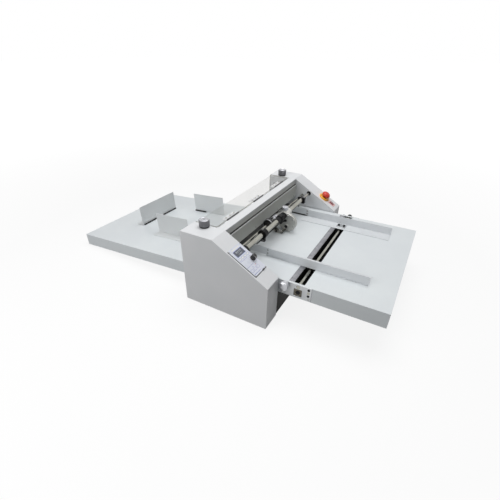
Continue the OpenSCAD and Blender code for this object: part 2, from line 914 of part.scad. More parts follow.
module bar_clamp() {
    w = 20;
    lug_w = 12;
    lug_drop = 28;
    color([0.1, 0.1, 0.1])
        difference() {
            union() {
                rod_x(-bar_clamp_x - w / 2, -bar_clamp_x + w / 2, feed_bar_y, feed_bar_z, bar_clamp_d);
                block([-bar_clamp_x - lug_w / 2, feed_bar_y - 9, feed_bar_z - lug_drop],
                    [-bar_clamp_x + lug_w / 2, feed_bar_y + 5, feed_bar_z - feed_bar_d / 2]);
            }
            rod_x(-bar_clamp_x - w, -bar_clamp_x + w, feed_bar_y, feed_bar_z, feed_bar_d + 2 * run_gap);
        }
}

module cheek_plate(x) {
    hull() {
        rod_x(x, x + cheek_t, cheek_y, cheek_z, cheek_d, $fn = 48);
        rod_x(x, x + cheek_t, feed_bar_y, feed_bar_z, head_hub_d, $fn = 32);
        rod_x(x, x + cheek_t, feed_shaft_y, feed_shaft_z, clutch_d, $fn = 32);
    }
}

module feed_head() {
    tie_d = 10;
    color("silver")
        difference() {
            union() {
                cheek_plate(head_x);
                cheek_plate(head_right_x - cheek_t);
                rod_x(head_x, head_right_x, feed_bar_y, feed_bar_z, head_hub_d);
                rod_x(head_x, head_right_x, cheek_y - 22, cheek_z + 12, tie_d);
                translate([thumb_x, feed_bar_y, feed_bar_z])
                    cylinder(h = thumb_z - feed_bar_z, d = thumb_screw_d + 8);
            }
            rod_x(head_x - eps, head_right_x + eps, feed_bar_y, feed_bar_z, feed_bar_d + 2 * run_gap);
            rod_x(head_x - eps, head_right_x + eps, feed_shaft_y, feed_shaft_z, sleeve_d + 2 * run_gap);
            rod_x(head_x - eps, head_right_x + eps, pickup_y, pickup_z, pickup_axle_d + 2 * run_gap);
            translate([thumb_x, feed_bar_y, feed_bar_z])
                cylinder(h = thumb_z, d = thumb_screw_d + 2 * run_gap);
        }
}

module separator_plate() {
    w = 28;
    sheet = 1.2;
    tab_y = pickup_y - 2;
    color("gainsboro") {
        along_x(head_x - w, head_x)
            polygon([
                [tab_y, table_z + 7],
                [tab_y + 8, table_z + 1],
                [tab_y + 30, table_z + 1],
                [tab_y + 42, table_z + 9],
                [tab_y + 42, table_z + 9 + sheet],
                [tab_y + 30, table_z + 1 + sheet],
                [tab_y + 8, table_z + 1 + sheet],
                [tab_y, table_z + 7 + sheet]
            ]);
        block([head_x - sheet, tab_y, table_z + 1], [head_x, tab_y + 16, table_z + 12]);
    }
}

module head_belt() {
    color([0.1, 0.1, 0.1])
        belt(head_belt_x, belt_w - 1, belt_t - 0.5, [feed_shaft_y, feed_shaft_z], head_pulley_d / 2,
            [pickup_y, pickup_z], head_pulley_d / 2);
}

module clutch_hub() {
    left_x = head_x - 33;
    color("silver")
        difference() {
            union() {
                rod_x(left_x, head_x - move_gap, feed_shaft_y, feed_shaft_z, clutch_d);
                rod_x(left_x, head_right_x, feed_shaft_y, feed_shaft_z, sleeve_d);
                rod_x(head_belt_x - 1.5, head_belt_x + belt_w + 0.5, feed_shaft_y, feed_shaft_z,
                    head_pulley_d);
            }
            rod_x(left_x - eps, head_right_x + eps, feed_shaft_y, feed_shaft_z, feed_shaft_d + 2 * run_gap);
        }
}

module pickup_roller() {
    roller_x = head_belt_x + belt_w + 2;
    color([0.2, 0.2, 0.2]) {
        rod_x(roller_x, head_right_x - cheek_t - 2, pickup_y, pickup_z, pickup_d);
        rod_x(head_belt_x - 1.5, roller_x + eps, pickup_y, pickup_z, head_pulley_d);
        rod_x(head_x + 2, head_right_x - 2, pickup_y, pickup_z, pickup_axle_d);
    }
}

module head_thumb_knob() {
    color("silver")
        translate([thumb_x, feed_bar_y, 0]) {
            translate([0, 0, thumb_z + move_gap])
                cylinder(h = thumb_knob_h, d = thumb_knob_d);
            translate([0, 0, feed_bar_z + feed_bar_d / 2 + move_gap])
                cylinder(h = thumb_z - feed_bar_z - feed_bar_d / 2 + eps, d = thumb_screw_d);
        }
}

module feed_shaft() {
    color("gainsboro") {
        rod_x(-frame_out_x, feed_belt_x + belt_w + 2, feed_shaft_y, feed_shaft_z, feed_shaft_d);
        pulley(feed_belt_x, belt_w, feed_shaft_y, feed_shaft_z, feed_pulley_d);
    }
}

module feed_wheel() {
    rim = 3;
    dish = 2;
    hub_d = feed_shaft_d + 8;
    half_w = feed_wheel_w / 2;
    color([0.1, 0.1, 0.1])
        translate([-feed_wheel_x, feed_shaft_y, feed_shaft_z])
            difference() {
                rod_x(-half_w, half_w, 0, 0, feed_wheel_d);
                rod_x(-half_w - eps, half_w + eps, 0, 0, feed_shaft_d);
                difference() {
                    rod_x(-half_w - eps, -half_w + dish, 0, 0, feed_wheel_d - 2 * rim);
                    rod_x(-half_w - 2 * eps, half_w, 0, 0, hub_d);
                }
            }
}

// Creasing unit

module shaft_bearings() {
    side_play = move_gap;
    color("slategray")
        both_sides() {
            for (z = [lower_z, upper_z])
                difference() {
                    block([frame_x - block_w / 2, shaft_y - window_w / 2 + side_play, z - block_h / 2],
                        [frame_x + block_w / 2, shaft_y + window_w / 2 - side_play, z + block_h / 2]);
                    rod_x(frame_x - block_w, frame_x + block_w, shaft_y, z, shaft_d + 2 * run_gap);
                }
            difference() {
                rod_x(frame_in_x - 2, frame_out_x, feed_shaft_y, feed_shaft_z, bush_d);
                rod_x(frame_in_x - 3, frame_out_x + eps, feed_shaft_y, feed_shaft_z,
                    feed_shaft_d + 2 * run_gap);
            }
        }
}

module upper_crease_shaft() {
    color("gainsboro") {
        rod_x(-gear_x - gear_w, feed_belt_x + belt_w + 3, shaft_y, upper_z, shaft_d);
        along_x(-gear_x - gear_w, -gear_x)
            translate([shaft_y, upper_z])
                gear(-90 + 180 / gear_teeth);
        pulley(feed_belt_x, belt_w, shaft_y, upper_z, feed_pulley_d);
    }
}

module lower_crease_shaft() {
    color("gainsboro") {
        rod_x(-gear_x - gear_w, drive_belt_x + belt_w + 3, shaft_y, lower_z, shaft_d);
        along_x(-gear_x - gear_w, -gear_x)
            translate([shaft_y, lower_z])
                gear(90);
        pulley(drive_belt_x, belt_w, shaft_y, lower_z, drive_pulley_d);
    }
}

module crease_disc() {
    hub_w = 16;
    color("silver")
        difference() {
            union() {
                rod_x(-hub_w / 2, hub_w / 2, shaft_y, upper_z, shaft_d + 16);
                rod_x(-crease_w / 2, crease_w / 2, shaft_y, upper_z, 2 * (tool_r + crease_depth));
            }
            rod_x(-hub_w, hub_w, shaft_y, upper_z, shaft_d);
        }
}

module crease_ring() {
    ring_w = 22;
    ring_d = 2 * tool_r - sheet_gap;
    color("silver")
        difference() {
            rod_x(-ring_w / 2, ring_w / 2, shaft_y, lower_z, ring_d);
            rod_x(-ring_w, ring_w, shaft_y, lower_z, shaft_d);
            difference() {
                rod_x(-groove_w / 2, groove_w / 2, shaft_y, lower_z, ring_d + eps);
                rod_x(-groove_w, groove_w, shaft_y, lower_z, ring_d - 2 * groove_depth);
            }
        }
}

module pull_rollers(z) {
    for (x = [-outer_roller_x, -inner_roller_x, inner_roller_x, outer_roller_x])
        difference() {
            rod_x(x - pull_roller_w / 2, x + pull_roller_w / 2, shaft_y, z, 2 * tool_r - sheet_gap);
            rod_x(x - pull_roller_w, x + pull_roller_w, shaft_y, z, shaft_d);
        }
}
module upper_pull_rollers() {
    color([0.25, 0.25, 0.25])
        pull_rollers(upper_z);
}
module lower_pull_rollers() {
    color([0.25, 0.25, 0.25])
        pull_rollers(lower_z);
}

module pressure_knob() {
    stem_low = upper_z + block_h / 2 + move_gap;
    knob_z = housing_h + 1;
    translate([frame_x, shaft_y, 0]) {
        translate([0, 0, stem_low])
            cylinder(h = knob_z - stem_low + eps, d = pressure_screw_d);
        translate([0, 0, knob_z])
            cylinder(h = pressure_knob_h, d = pressure_knob_d);
    }
}
module left_pressure_knob() {
    color([0.3, 0.3, 0.31])
        mirror([1, 0, 0])
            pressure_knob();
}
module right_pressure_knob() {
    color([0.3, 0.3, 0.31])
        pressure_knob();
}

// Drive

module drive_motor() {
    gearbox_h = 2 * (motor_z - base_top_z);
    color([0.3, 0.32, 0.35])
        difference() {
            union() {
                rod_x(gearbox_x - motor_len, gearbox_x + eps, motor_y, motor_z, motor_d);
                block([gearbox_x, motor_y - gearbox_h / 2, base_top_z],
                    [motor_face_x, motor_y + gearbox_h / 2, motor_z + gearbox_h / 2]);
            }
            rod_x(motor_seat_x - 1, motor_face_x + eps, motor_y, motor_z, motor_shaft_d + 2 * run_gap);
        }
}

module motor_pulley() {
    color("silver") {
        rod_x(motor_seat_x, drive_belt_x + belt_w + 3, motor_y, motor_z, motor_shaft_d);
        pulley(drive_belt_x, belt_w, motor_y, motor_z, motor_pulley_d);
    }
}

module drive_belts() {
    play = 0.5;
    color([0.1, 0.1, 0.1]) {
        belt(drive_belt_x + play, belt_w - 2 * play, belt_t, [motor_y, motor_z], motor_pulley_d / 2,
            [shaft_y, lower_z], drive_pulley_d / 2);
        belt(feed_belt_x + play, belt_w - 2 * play, belt_t, [feed_shaft_y, feed_shaft_z], feed_pulley_d / 2,
            [shaft_y, upper_z], feed_pulley_d / 2);
    }
}

// Clear cover and its hinges

module clear_cover() {
    low_z = housing_h - cover_drop;
    outline = [
        [cover_front_y, housing_h - cover_t],
        [cover_front_y, housing_h],
        [rear_y, housing_h],
        [rear_y, low_z],
        [rear_y - cover_t, low_z],
        [rear_y - cover_t, housing_h - cover_t]
    ];
    outer = corner(outline[1], outline[2], outline[3], cover_bend_r);
    inner = corner(outline[4], outline[5], outline[0], cover_bend_r - cover_t);
    color([0.85, 0.87, 0.84, 0.4])
        along_x(-cover_x, cover_x)
            polygon(concat([outline[0], outline[1]], outer, [outline[3], outline[4]], inner));
}

// Each hinge has two knuckles on the beam and one on the cover, round a pin
module hinge_knuckles(x, first, count) {
    step = hinge_len / 3;
    for (k = [first:2:first + 2 * (count - 1)])
        rod_x(x - hinge_len / 2 + k * step + move_gap / 2, x - hinge_len / 2 + (k + 1) * step - move_gap / 2,
            hinge_y, hinge_z, knuckle_d);
}

module cover_hinge_leaves() {
    leaf_h = 18;
    color([0.12, 0.12, 0.12])
        for (x = hinge_places) {
            difference() {
                union() {
                    hinge_knuckles(x, 0, 2);
                    block([x - hinge_len / 2, beam_rear_y, hinge_z - leaf_h],
                        [x + hinge_len / 2, beam_rear_y + leaf_t, hinge_z - leaf_t / 2]);
                }
                rod_x(x - hinge_len / 6, x + hinge_len / 6, hinge_y, hinge_z, knuckle_d + 2 * move_gap);
            }
            rod_x(x - hinge_len / 3, x + hinge_len / 3, hinge_y, hinge_z, hinge_pin_d);
        }
}

module cover_hinge_arms() {
    arm_len = 20;
    arm_z = housing_h - cover_t;
    half_w = hinge_len / 6 - move_gap / 2;
    color([0.12, 0.12, 0.12])
        for (x = hinge_places)
            difference() {
                union() {
                    hinge_knuckles(x, 1, 1);
                    block([x - half_w, hinge_y, arm_z - leaf_t], [x + half_w, cover_front_y, hinge_z]);
                    block([x - half_w, hinge_y, arm_z - leaf_t], [x + half_w, cover_front_y + eps, arm_z]);
                    block([x - hinge_len / 2, cover_front_y, arm_z - leaf_t],
                        [x + hinge_len / 2, cover_front_y + arm_len, arm_z]);
                }
                rod_x(x - hinge_len, x + hinge_len, hinge_y, hinge_z, hinge_pin_d + 2 * run_gap);
            }
}

// Console

module control_panel() {
    color([0.86, 0.88, 0.93])
        on_console()
            difference() {
                block([-inner_x - 1 - panel_w, panel_up, 0], [-inner_x - 1, panel_up + panel_len, panel_t]);
                translate([-speed_knob_x, speed_knob_up, -eps])
                    cylinder(h = panel_t + 2 * eps, d = speed_shaft_d + 2);
            }
}

module speed_knob() {
    color([0.08, 0.08, 0.08])
        on_console()
            translate([-speed_knob_x, speed_knob_up, 0]) {
                translate([0, 0, panel_t + move_gap])
                    cylinder(h = speed_knob_h, d1 = speed_knob_d, d2 = speed_knob_d - 3);
                translate([0, 0, -10])
                    cylinder(h = 10 + panel_t + eps, d = speed_shaft_d);
            }
}

module control_electronics() {
    board_z = -shell_t - 13;
    board_t = 1.6;
    board_x0 = -outer_x + shell_t + 6;
    board_x1 = -frame_out_x - 3;
    pot_d = speed_knob_d;
    psu_top = 42;
    color("darkgreen") {
        on_console() {
            block([board_x0, panel_up + 4, board_z], [board_x1, panel_up + panel_len - 4, board_z + board_t]);
            for (x = [board_x0 + 5, board_x1 - 5], y = [panel_up + 10, panel_up + panel_len - 10])
                translate([x, y, board_z])
                    cylinder(h = -shell_t - board_z, d = 6);
            difference() {
                union() {
                    translate([-speed_knob_x, speed_knob_up, board_z])
                        cylinder(h = 9, d = pot_d);
                    block([board_x1 - 4, speed_knob_up - 6, board_z],
                        [-speed_knob_x, speed_knob_up + 6, board_z + board_t]);
                }
                translate([-speed_knob_x, speed_knob_up, board_z + 2])
                    cylinder(h = 20, d = speed_shaft_d + 2 * run_gap);
            }
        }
        block([-inner_x + 30, front_y + 60, base_top_z], [-inner_x + 190, front_y + 150, psu_top]);
    }
}

module stop_base() {
    base_h = 6;
    barrel_depth = 40;
    color("gold")
        on_console()
            translate([console_x, stop_up, 0])
                difference() {
                    union() {
                        cylinder(h = base_h, d = stop_base_d);
                        translate([0, 0, -barrel_depth])
                            cylinder(h = barrel_depth + eps, d = stop_barrel_d);
                    }
                    translate([0, 0, -barrel_depth / 2])
                        cylinder(h = barrel_depth, d = stop_stem_d + 2 * run_gap);
                }
}

module stop_button() {
    head_h = 12;
    neck_z = 6 + stop_travel + move_gap;
    color("red")
        on_console()
            translate([console_x, stop_up, 0]) {
                translate([0, 0, -14])
                    cylinder(h = 14 + neck_z + eps, d = stop_stem_d);
                translate([0, 0, neck_z])
                    cylinder(h = stop_proud - head_h - neck_z + eps, d1 = stop_stem_d, d2 = stop_head_d);
                translate([0, 0, stop_proud - head_h])
                    rotate_extrude()
                        intersection() {
                            square([stop_head_d / 2, head_h]);
                            scale([stop_head_d / 2 / head_h, 1])
                                circle(r = head_h * 1.04);
                        }
            }
}

module switch_bezel() {
    rim = 3;
    rim_t = 2;
    depth = 14;
    color([0.85, 0.6, 0.6])
        on_console()
            translate([console_x, switch_up, 0])
                difference() {
                    union() {
                        block([-bezel_body_w / 2 - rim, -bezel_body_len / 2 - rim, 0],
                            [bezel_body_w / 2 + rim, bezel_body_len / 2 + rim, rim_t]);
                        block([-bezel_body_w / 2, -bezel_body_len / 2, -depth],
                            [bezel_body_w / 2, bezel_body_len / 2, eps]);
                    }
                    block([-rocker_w / 2 - move_gap, -rocker_len / 2 - move_gap, -rocker_len / 2 - 1],
                        [rocker_w / 2 + move_gap, rocker_len / 2 + move_gap, rim_t + eps]);
                    rod_x(-bezel_body_w / 2 - eps, bezel_body_w / 2 + eps, 0, 0, rocker_pin_d + 2 * run_gap);
                }
}

module power_rocker() {
    color([0.45, 0.05, 0.08])
        on_console()
            translate([console_x, switch_up, 0]) {
                rotate([rocker_tilt, 0, 0])
                    along_x(-rocker_w / 2, rocker_w / 2)
                        intersection() {
                            circle(d = rocker_len);
                            polygon([
                                [-rocker_len / 2, -6],
                                [rocker_len / 2, -6],
                                [rocker_len / 2, 3.4],
                                [0, 5],
                                [-rocker_len / 2, 3.4]
                            ]);
                        }
                rod_x(-bezel_body_w / 2 + 0.5, bezel_body_w / 2 - 0.5, 0, 0, rocker_pin_d);
            }
}

module power_inlet() {
    wall = 2;
    flange = 3;
    color([0.1, 0.1, 0.1])
        difference() {
            union() {
                block([inlet_x - inlet_w / 2, rear_y - inlet_depth, inlet_z - inlet_h / 2],
                    [inlet_x + inlet_w / 2, rear_y + eps, inlet_z + inlet_h / 2]);
                block([inlet_x - inlet_w / 2 - flange, rear_y, inlet_z - inlet_h / 2 - flange],
                    [inlet_x + inlet_w / 2 + flange, rear_y + 2, inlet_z + inlet_h / 2 + flange]);
            }
            block([inlet_x - inlet_w / 2 + wall, rear_y - inlet_depth + wall, inlet_z - inlet_h / 2 + wall],
                [inlet_x + inlet_w / 2 - wall, rear_y + 5, inlet_z + inlet_h / 2 - wall]);
        }
}

// Delivery table and its stops

// The table's whole outline, as wide as half_w each side
module delivery_body(half_w) {
    along_x(-half_w, half_w)
        polygon([
            [delivery_front_y, delivery_top(delivery_front_y)],
            [delivery_front_y, delivery_top(delivery_front_y) - delivery_h],
            [end_y, delivery_top(end_y) - delivery_h],
            [end_y, delivery_top(end_y)]
        ]);
}

module delivery_table() {
    front = delivery_front_y + table_t;
    back = end_y - table_t;
    color("whitesmoke")
        difference() {
            delivery_body(table_x);
            along_x(-table_x + table_t, table_x - table_t)
                polygon([
                    for (p = [[front, -table_t], [front, -table_h], [back, -table_h], [back, -table_t]])
                        [p.x, delivery_top(p.x) + p.y]
                ]);
        }
}

module rear_stop() {
    middle_x = (right_stop_x - left_stop_x) / 2;
    left_x = middle_x - rear_stop_w / 2;
    right_x = middle_x + rear_stop_w / 2;
    strip = rear_stop_w * 0.4;
    strip_end = 4;
    color([0.6, 0.61, 0.61])
        on_delivery(rear_stop_y) {
            block([left_x, 0, move_gap], [right_x, stop_t, stop_h]);
            block([left_x, 0, move_gap], [right_x, stop_foot, move_gap + stop_t]);
            for (x = [left_x + strip_end, right_x - strip_end - strip])
                block([x, -magnet_t, move_gap], [x + strip, 0, move_gap + magnet_t]);
        }
}

// A side stop with its face towards the middle of the table
module side_stop(x) {
    strip = side_stop_len * 0.38;
    block([x, 0, move_gap], [x + stop_t, side_stop_len, stop_h]);
    block([x, 0, move_gap], [x + stop_foot, side_stop_len, move_gap + stop_t]);
    block([x - magnet_t, side_stop_len - strip, move_gap], [x, side_stop_len, move_gap + magnet_t]);
}
module left_stop() {
    color([0.75, 0.77, 0.79])
        on_delivery(side_stop_y)
            mirror([1, 0, 0])
                side_stop(left_stop_x);
}
module right_stop() {
    color([0.75, 0.77, 0.79])
        on_delivery(side_stop_y)
            side_stop(right_stop_x);
}

left_housing();
right_housing();
inner_covers();
side_frames();
base_tray();
front_apron();
beam_core();
beam_top_cover();
beam_front_panel();
rubber_feet();
feed_table();
delivery_table();
table_bottom_plates();
slot_channel();
slot_scale();
guide_rod();
slot_end_plates();
feed_bar();
bar_end_collars();
shaft_bearings();
drive_motor();
drive_belts();
cover_hinge_leaves();
control_panel();
stop_base();
switch_bezel();
power_inlet();
control_electronics();
left_side_guide();
right_side_guide();
left_guide_carriage();
right_guide_carriage();
register_knob();
guide_lock_knob();
bar_clamp();
feed_head();
separator_plate();
head_belt();
clutch_hub();
pickup_roller();
head_thumb_knob();
feed_shaft();
feed_wheel();
upper_crease_shaft();
lower_crease_shaft();
crease_disc();
crease_ring();
upper_pull_rollers();
lower_pull_rollers();
motor_pulley();
left_pressure_knob();
right_pressure_knob();
clear_cover();
cover_hinge_arms();
speed_knob();
stop_button();
power_rocker();
rear_stop();
left_stop();
right_stop();
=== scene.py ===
# Desktop paper creasing machine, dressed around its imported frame.
# +X is the operator's right, +Y the way a sheet travels, +Z up. Shapes are drawn in millimetres and handed
# over in metres, the frame's own unit. Lamps, floor and camera are in metres from the start.

import json
import math

import bmesh
import bpy
from mathutils import Matrix, Vector
from mathutils.geometry import convex_hull_2d

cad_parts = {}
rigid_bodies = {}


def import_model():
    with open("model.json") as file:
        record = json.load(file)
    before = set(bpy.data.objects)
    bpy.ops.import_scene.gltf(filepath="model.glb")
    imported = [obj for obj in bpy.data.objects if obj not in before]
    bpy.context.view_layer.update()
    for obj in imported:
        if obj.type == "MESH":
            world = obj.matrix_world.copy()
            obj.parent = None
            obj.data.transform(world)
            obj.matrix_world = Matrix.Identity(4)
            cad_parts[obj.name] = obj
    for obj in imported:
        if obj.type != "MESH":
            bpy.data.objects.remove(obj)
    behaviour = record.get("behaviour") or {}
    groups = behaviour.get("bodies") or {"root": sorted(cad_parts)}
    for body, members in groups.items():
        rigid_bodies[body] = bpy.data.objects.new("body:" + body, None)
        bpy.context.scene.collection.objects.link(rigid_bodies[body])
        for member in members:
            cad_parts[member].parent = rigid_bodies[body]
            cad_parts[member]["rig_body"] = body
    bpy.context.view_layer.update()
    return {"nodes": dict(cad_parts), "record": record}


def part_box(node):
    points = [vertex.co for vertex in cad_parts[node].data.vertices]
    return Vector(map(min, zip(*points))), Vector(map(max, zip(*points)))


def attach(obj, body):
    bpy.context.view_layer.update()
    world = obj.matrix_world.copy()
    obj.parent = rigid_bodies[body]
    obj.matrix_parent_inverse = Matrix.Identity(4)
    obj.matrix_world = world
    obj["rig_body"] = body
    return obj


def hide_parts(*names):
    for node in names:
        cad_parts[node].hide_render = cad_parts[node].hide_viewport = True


MM = 0.001
WELD = 0.004 * MM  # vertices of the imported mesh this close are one
SHARP = math.radians(30)  # an edge that turns more than this gets broken
CREASE = 38  # degrees: faces that meet at more than this aren't smoothed into each other
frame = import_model()

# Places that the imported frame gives, in millimetres


def span(node):
    """A node's lowest and highest corners, in millimetres."""
    low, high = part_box(node)
    return low / MM, high / MM


def middle(node):
    low, high = span(node)
    return (low + high) / 2


housing_low, housing_high = span("left_housing")
FRONT_Y = housing_low.y
REAR_Y = housing_high.y
OUTER_X = -housing_low.x
INNER_X = -housing_high.x
TOP_Z = housing_high.z
table_high = span("feed_table")[1]
TABLE_X = table_high.x
TABLE_Z = table_high.z
END_PLATE_X = TABLE_X + 2  # outer face of the slot's end plates
KNOB_X = TABLE_X + 2.3  # the side knobs start just off it
scale_low, scale_high = span("slot_scale")
BAR_Y, BAR_Z = middle("feed_bar").yz
SHAFT_Y = middle("crease_disc").y
FEED_SHAFT_Y, FEED_SHAFT_Z = middle("feed_wheel").yz
PICKUP_Y, PICKUP_Z = middle("pickup_roller").yz
ROD_Y, ROD_Z = middle("guide_rod").yz
REGISTER_Y, REGISTER_Z = middle("register_knob").yz
FRAME_X = middle("right_pressure_knob").x
head_low, head_high = span("feed_head")
THUMB_X = middle("head_thumb_knob").x

# The console slopes from the top of the front wall to the crown of the housing
FRONT_WALL = 156
CONSOLE_RUN = 188
CONSOLE_X = OUTER_X - 36  # the stop button and the power switch sit on this line
console_angle = math.atan2(TOP_Z - FRONT_WALL, CONSOLE_RUN)
CONSOLE = Matrix.Translation((0, FRONT_Y, FRONT_WALL)) @ Matrix.Rotation(console_angle, 4, "X")

# The delivery table falls away from the housings
DELIVERY_Z = 91.5
DELIVERY_DROP = 40.5
DELIVERY_LENGTH = 616
DELIVERY_FALL = math.atan2(DELIVERY_DROP, DELIVERY_LENGTH)
DELIVERY = Matrix.Translation((0, REAR_Y, DELIVERY_Z)) @ Matrix.Rotation(-DELIVERY_FALL, 4, "X")


# Small tools of the bench


def ink(code):
    """An sRGB hex colour as the linear numbers that a shader takes."""
    parts = [int(code[i : i + 2], 16) / 255 for i in (0, 2, 4)]
    return [c / 12.92 if c <= 0.04045 else ((c + 0.055) / 1.055) ** 2.4 for c in parts] + [1.0]


def add(tree, kind, inputs=None, **settings):
    """One node: inputs are socket values, or the sockets that feed them, and settings its properties."""
    node = tree.nodes.new("ShaderNode" + kind)
    for key, value in settings.items():
        setattr(node, key, value)
    for socket, value in (inputs or {}).items():
        if isinstance(value, bpy.types.NodeSocket):
            tree.links.new(value, node.inputs[socket])
        else:
            node.inputs[socket].default_value = value
    return node


def blank(name):
    """An empty material, its tree and the object's own coordinates in metres."""
    finish = bpy.data.materials.new(name)
    finish.use_nodes = True
    tree = finish.node_tree
    tree.nodes.clear()
    return finish, tree, add(tree, "TexCoord").outputs["Object"]


def show(tree, shader):
    add(tree, "OutputMaterial", {"Surface": shader.outputs[0]})


def speckle(tree, place, grain, detail, **settings):
    """Noise whose patches are as wide as grain, in millimetres."""
    inputs = {"Vector": place, "Scale": 1 / (grain * MM), "Detail": detail}
    return add(tree, "TexNoise", inputs | settings).outputs["Fac"]


def remapped(tree, value, from_low, from_high, low, high):
    inputs = {"Value": value, 1: from_low, 2: from_high, 3: low, 4: high}
    return add(tree, "MapRange", inputs).outputs[0]


def mottled(tree, place, grain, low, high):
    """A number that wanders between low and high over patches as wide as grain."""
    noise = speckle(tree, place, grain, 3.0, Roughness=0.55)
    return remapped(tree, noise, 0.35, 0.65, low, high)


def clouded(tree, place, grain, colour, shade):
    """A colour that drifts to its shade and back over patches as wide as grain."""
    return two_tone(tree, mottled(tree, place, grain, 0.0, 1.0), colour, shade)


def two_tone(tree, amount, first, second):
    """A colour between two, by an amount from 0 to 1."""
    return add(tree, "Mix", {0: amount, 6: ink(first), 7: ink(second)}, data_type="RGBA").outputs[2]


def relief(tree, height, depth, strength):
    """A bump of a depth in millimetres."""
    inputs = {"Height": height, "Distance": depth * MM, "Strength": strength}
    return add(tree, "Bump", inputs).outputs["Normal"]


def finished(finish, tree, **sockets):
    """Ends a material with one principled shader. Sockets are named with _ for a space."""
    inputs = {name.replace("_", " "): value for name, value in sockets.items()}
    show(tree, add(tree, "BsdfPrincipled", inputs))
    return finish


# Finishes, each named for what the real one is


def powder_coat(name, colour, shade, roughness=0.42, peel=2.5, gloss=0.5):
    """Polyester powder baked on sheet steel: an even satin film with a low orange peel.
    The real peel is about 1 mm across; it is drawn wider, so that it still breaks up a highlight."""
    finish, tree, place = blank(name)
    return finished(
        finish,
        tree,
        Base_Color=clouded(tree, place, 160, colour, shade),
        Roughness=mottled(tree, place, 45, roughness - 0.04, roughness + 0.05),
        IOR=1.5,
        Specular_IOR_Level=gloss,
        Normal=relief(tree, speckle(tree, place, peel, 1.0), 0.05, 0.5),
    )


def bare_metal(name, colour, shade, roughness, lay, grain=0.8, depth=0.01):
    """Machined or ground metal: fine tool marks that run round a turned piece or along a brushed one.
    lay stretches the marks: a large number makes them short along that axis."""
    finish, tree, place = blank(name)
    squeezed = add(tree, "Mapping", {"Vector": place, "Scale": lay}).outputs[0]
    marks = speckle(tree, squeezed, grain, 2.0)
    return finished(
        finish,
        tree,
        Base_Color=clouded(tree, place, 30, colour, shade),
        Metallic=1.0,
        Roughness=remapped(tree, marks, 0.3, 0.7, roughness * 0.75, roughness * 1.3),
        Normal=relief(tree, marks, depth, 0.4),
    )


def moulding(name, colour, shade, roughness, grain=0.6, depth=0.03, coat=0.0):
    """Injection moulded plastic: one colour through and through, with the mould's fine spark grain."""
    finish, tree, place = blank(name)
    return finished(
        finish,
        tree,
        Base_Color=clouded(tree, place, 20, colour, shade),
        Roughness=mottled(tree, place, 9, roughness * 0.85, roughness * 1.15),
        IOR=1.49,
        Coat_Weight=coat,
        Normal=relief(tree, speckle(tree, place, grain, 2.0), depth, 0.35),
    )


def rubber(name, colour, shade):
    """Ground nitrile rubber: dull, a little dusty where it is handled."""
    return moulding(name, colour, shade, 0.78, 1.2, 0.06)


def clear_acrylic(name, colour, haze):
    """Cast acrylic sheet, 3 mm: clear and faintly warm with age. Its sawn edges gather light, so they
    are a second, denser finish. Four faces lie behind each other in the view, so each veils a little."""
    finish, tree, place = blank(name)
    return finished(
        finish,
        tree,
        Base_Color=clouded(tree, place, 120, colour, "A9A89E"),
        Roughness=0.12,
        IOR=1.49,
        Alpha=mottled(tree, place, 90, haze * 0.9, haze * 1.1),
    )


EVENLY = (1, 1, 1)
ROUND_X = (30, 1, 1)
LOOSELY_ROUND_X = (20, 1, 1)
BRUSHED_ALONG_X = (1, 20, 20)

white_coat = powder_coat("white_powder_coat", "E2E3E5", "DDDFE1", gloss=0.3)
table_coat = powder_coat("table_powder_coat", "DDE2E4", "D8DDE0", 0.38)
guide_coat = powder_coat("guide_powder_coat", "DADDE0", "D4D8DB", 0.36)
stop_coat = powder_coat("stop_powder_coat", "D8DBDC", "D2D5D6", 0.4)
grey_coat = powder_coat("grey_powder_coat", "C2C4BF", "B8BAB5", 0.35)
dark_coat = powder_coat("dark_powder_coat", "4A4B4C", "404143", 0.5)
# Black; on the front apron it paints the shade under the feed table.
black_coat = powder_coat("black_powder_coat", "141413", "1B1B19", 0.6, gloss=0.1)
motor_coat = powder_coat("motor_enamel", "3E444C", "343A42", 0.4)
zinc_sheet = bare_metal("zinc_plated_sheet", "A9AEB0", "989DA0", 0.42, EVENLY, 6)
polished_steel = bare_metal("polished_spring_steel", "DADAD6", "CDCDC8", 0.14, EVENLY)
hard_chrome = bare_metal("hard_chrome", "A9A8A0", "98978F", 0.16, ROUND_X)
ground_steel = bare_metal("ground_steel", "ADADAC", "9B9B9A", 0.28, ROUND_X)
black_oxide = bare_metal("black_oxide_steel", "1E1E1F", "29292A", 0.38, EVENLY, 2)
turned_aluminium = bare_metal("turned_aluminium", "C4C5C9", "B3B4B8", 0.26, LOOSELY_ROUND_X)
brushed_aluminium = bare_metal("brushed_aluminium", "C3C5C7", "B4B6B8", 0.34, BRUSHED_ALONG_X)
cast_aluminium = bare_metal("cast_aluminium", "C2C2BE", "B0B0AC", 0.4, EVENLY, 1.6, 0.05)
grey_steel = bare_metal("phosphated_steel", "5E5E5F", "525253", 0.4, EVENLY, 2)
plate_aluminium = bare_metal("satin_aluminium_plate", "B9BBBD", "ADAFB1", 0.4, BRUSHED_ALONG_X)
scale_aluminium = bare_metal("anodised_scale_strip", "96969A", "86868A", 0.42, BRUSHED_ALONG_X)
knurled_grey = bare_metal("grey_anodised_knurl", "7C7C7F", "6C6C6F", 0.42, EVENLY)
black_moulding = moulding("black_abs", "161617", "1D1D1E", 0.5)
yellow_moulding = moulding("yellow_polycarbonate", "F2AE30", "EDA528", 0.34, coat=0.2)
red_moulding = moulding("red_polycarbonate", "CF2A0E", "C2240B", 0.34, coat=0.15)
pink_moulding = moulding("pink_polycarbonate", "E9B7B4", "E3ADAB", 0.3, coat=0.3)
rocker_moulding = moulding("dark_red_polycarbonate", "7E1420", "6E101B", 0.28, coat=0.4)
panel_film = moulding("printed_polyester_film", "DFE2EC", "D8DCE8", 0.3, 1.5)
board_resin = moulding("green_solder_mask", "1E5B35", "194D2D", 0.35)
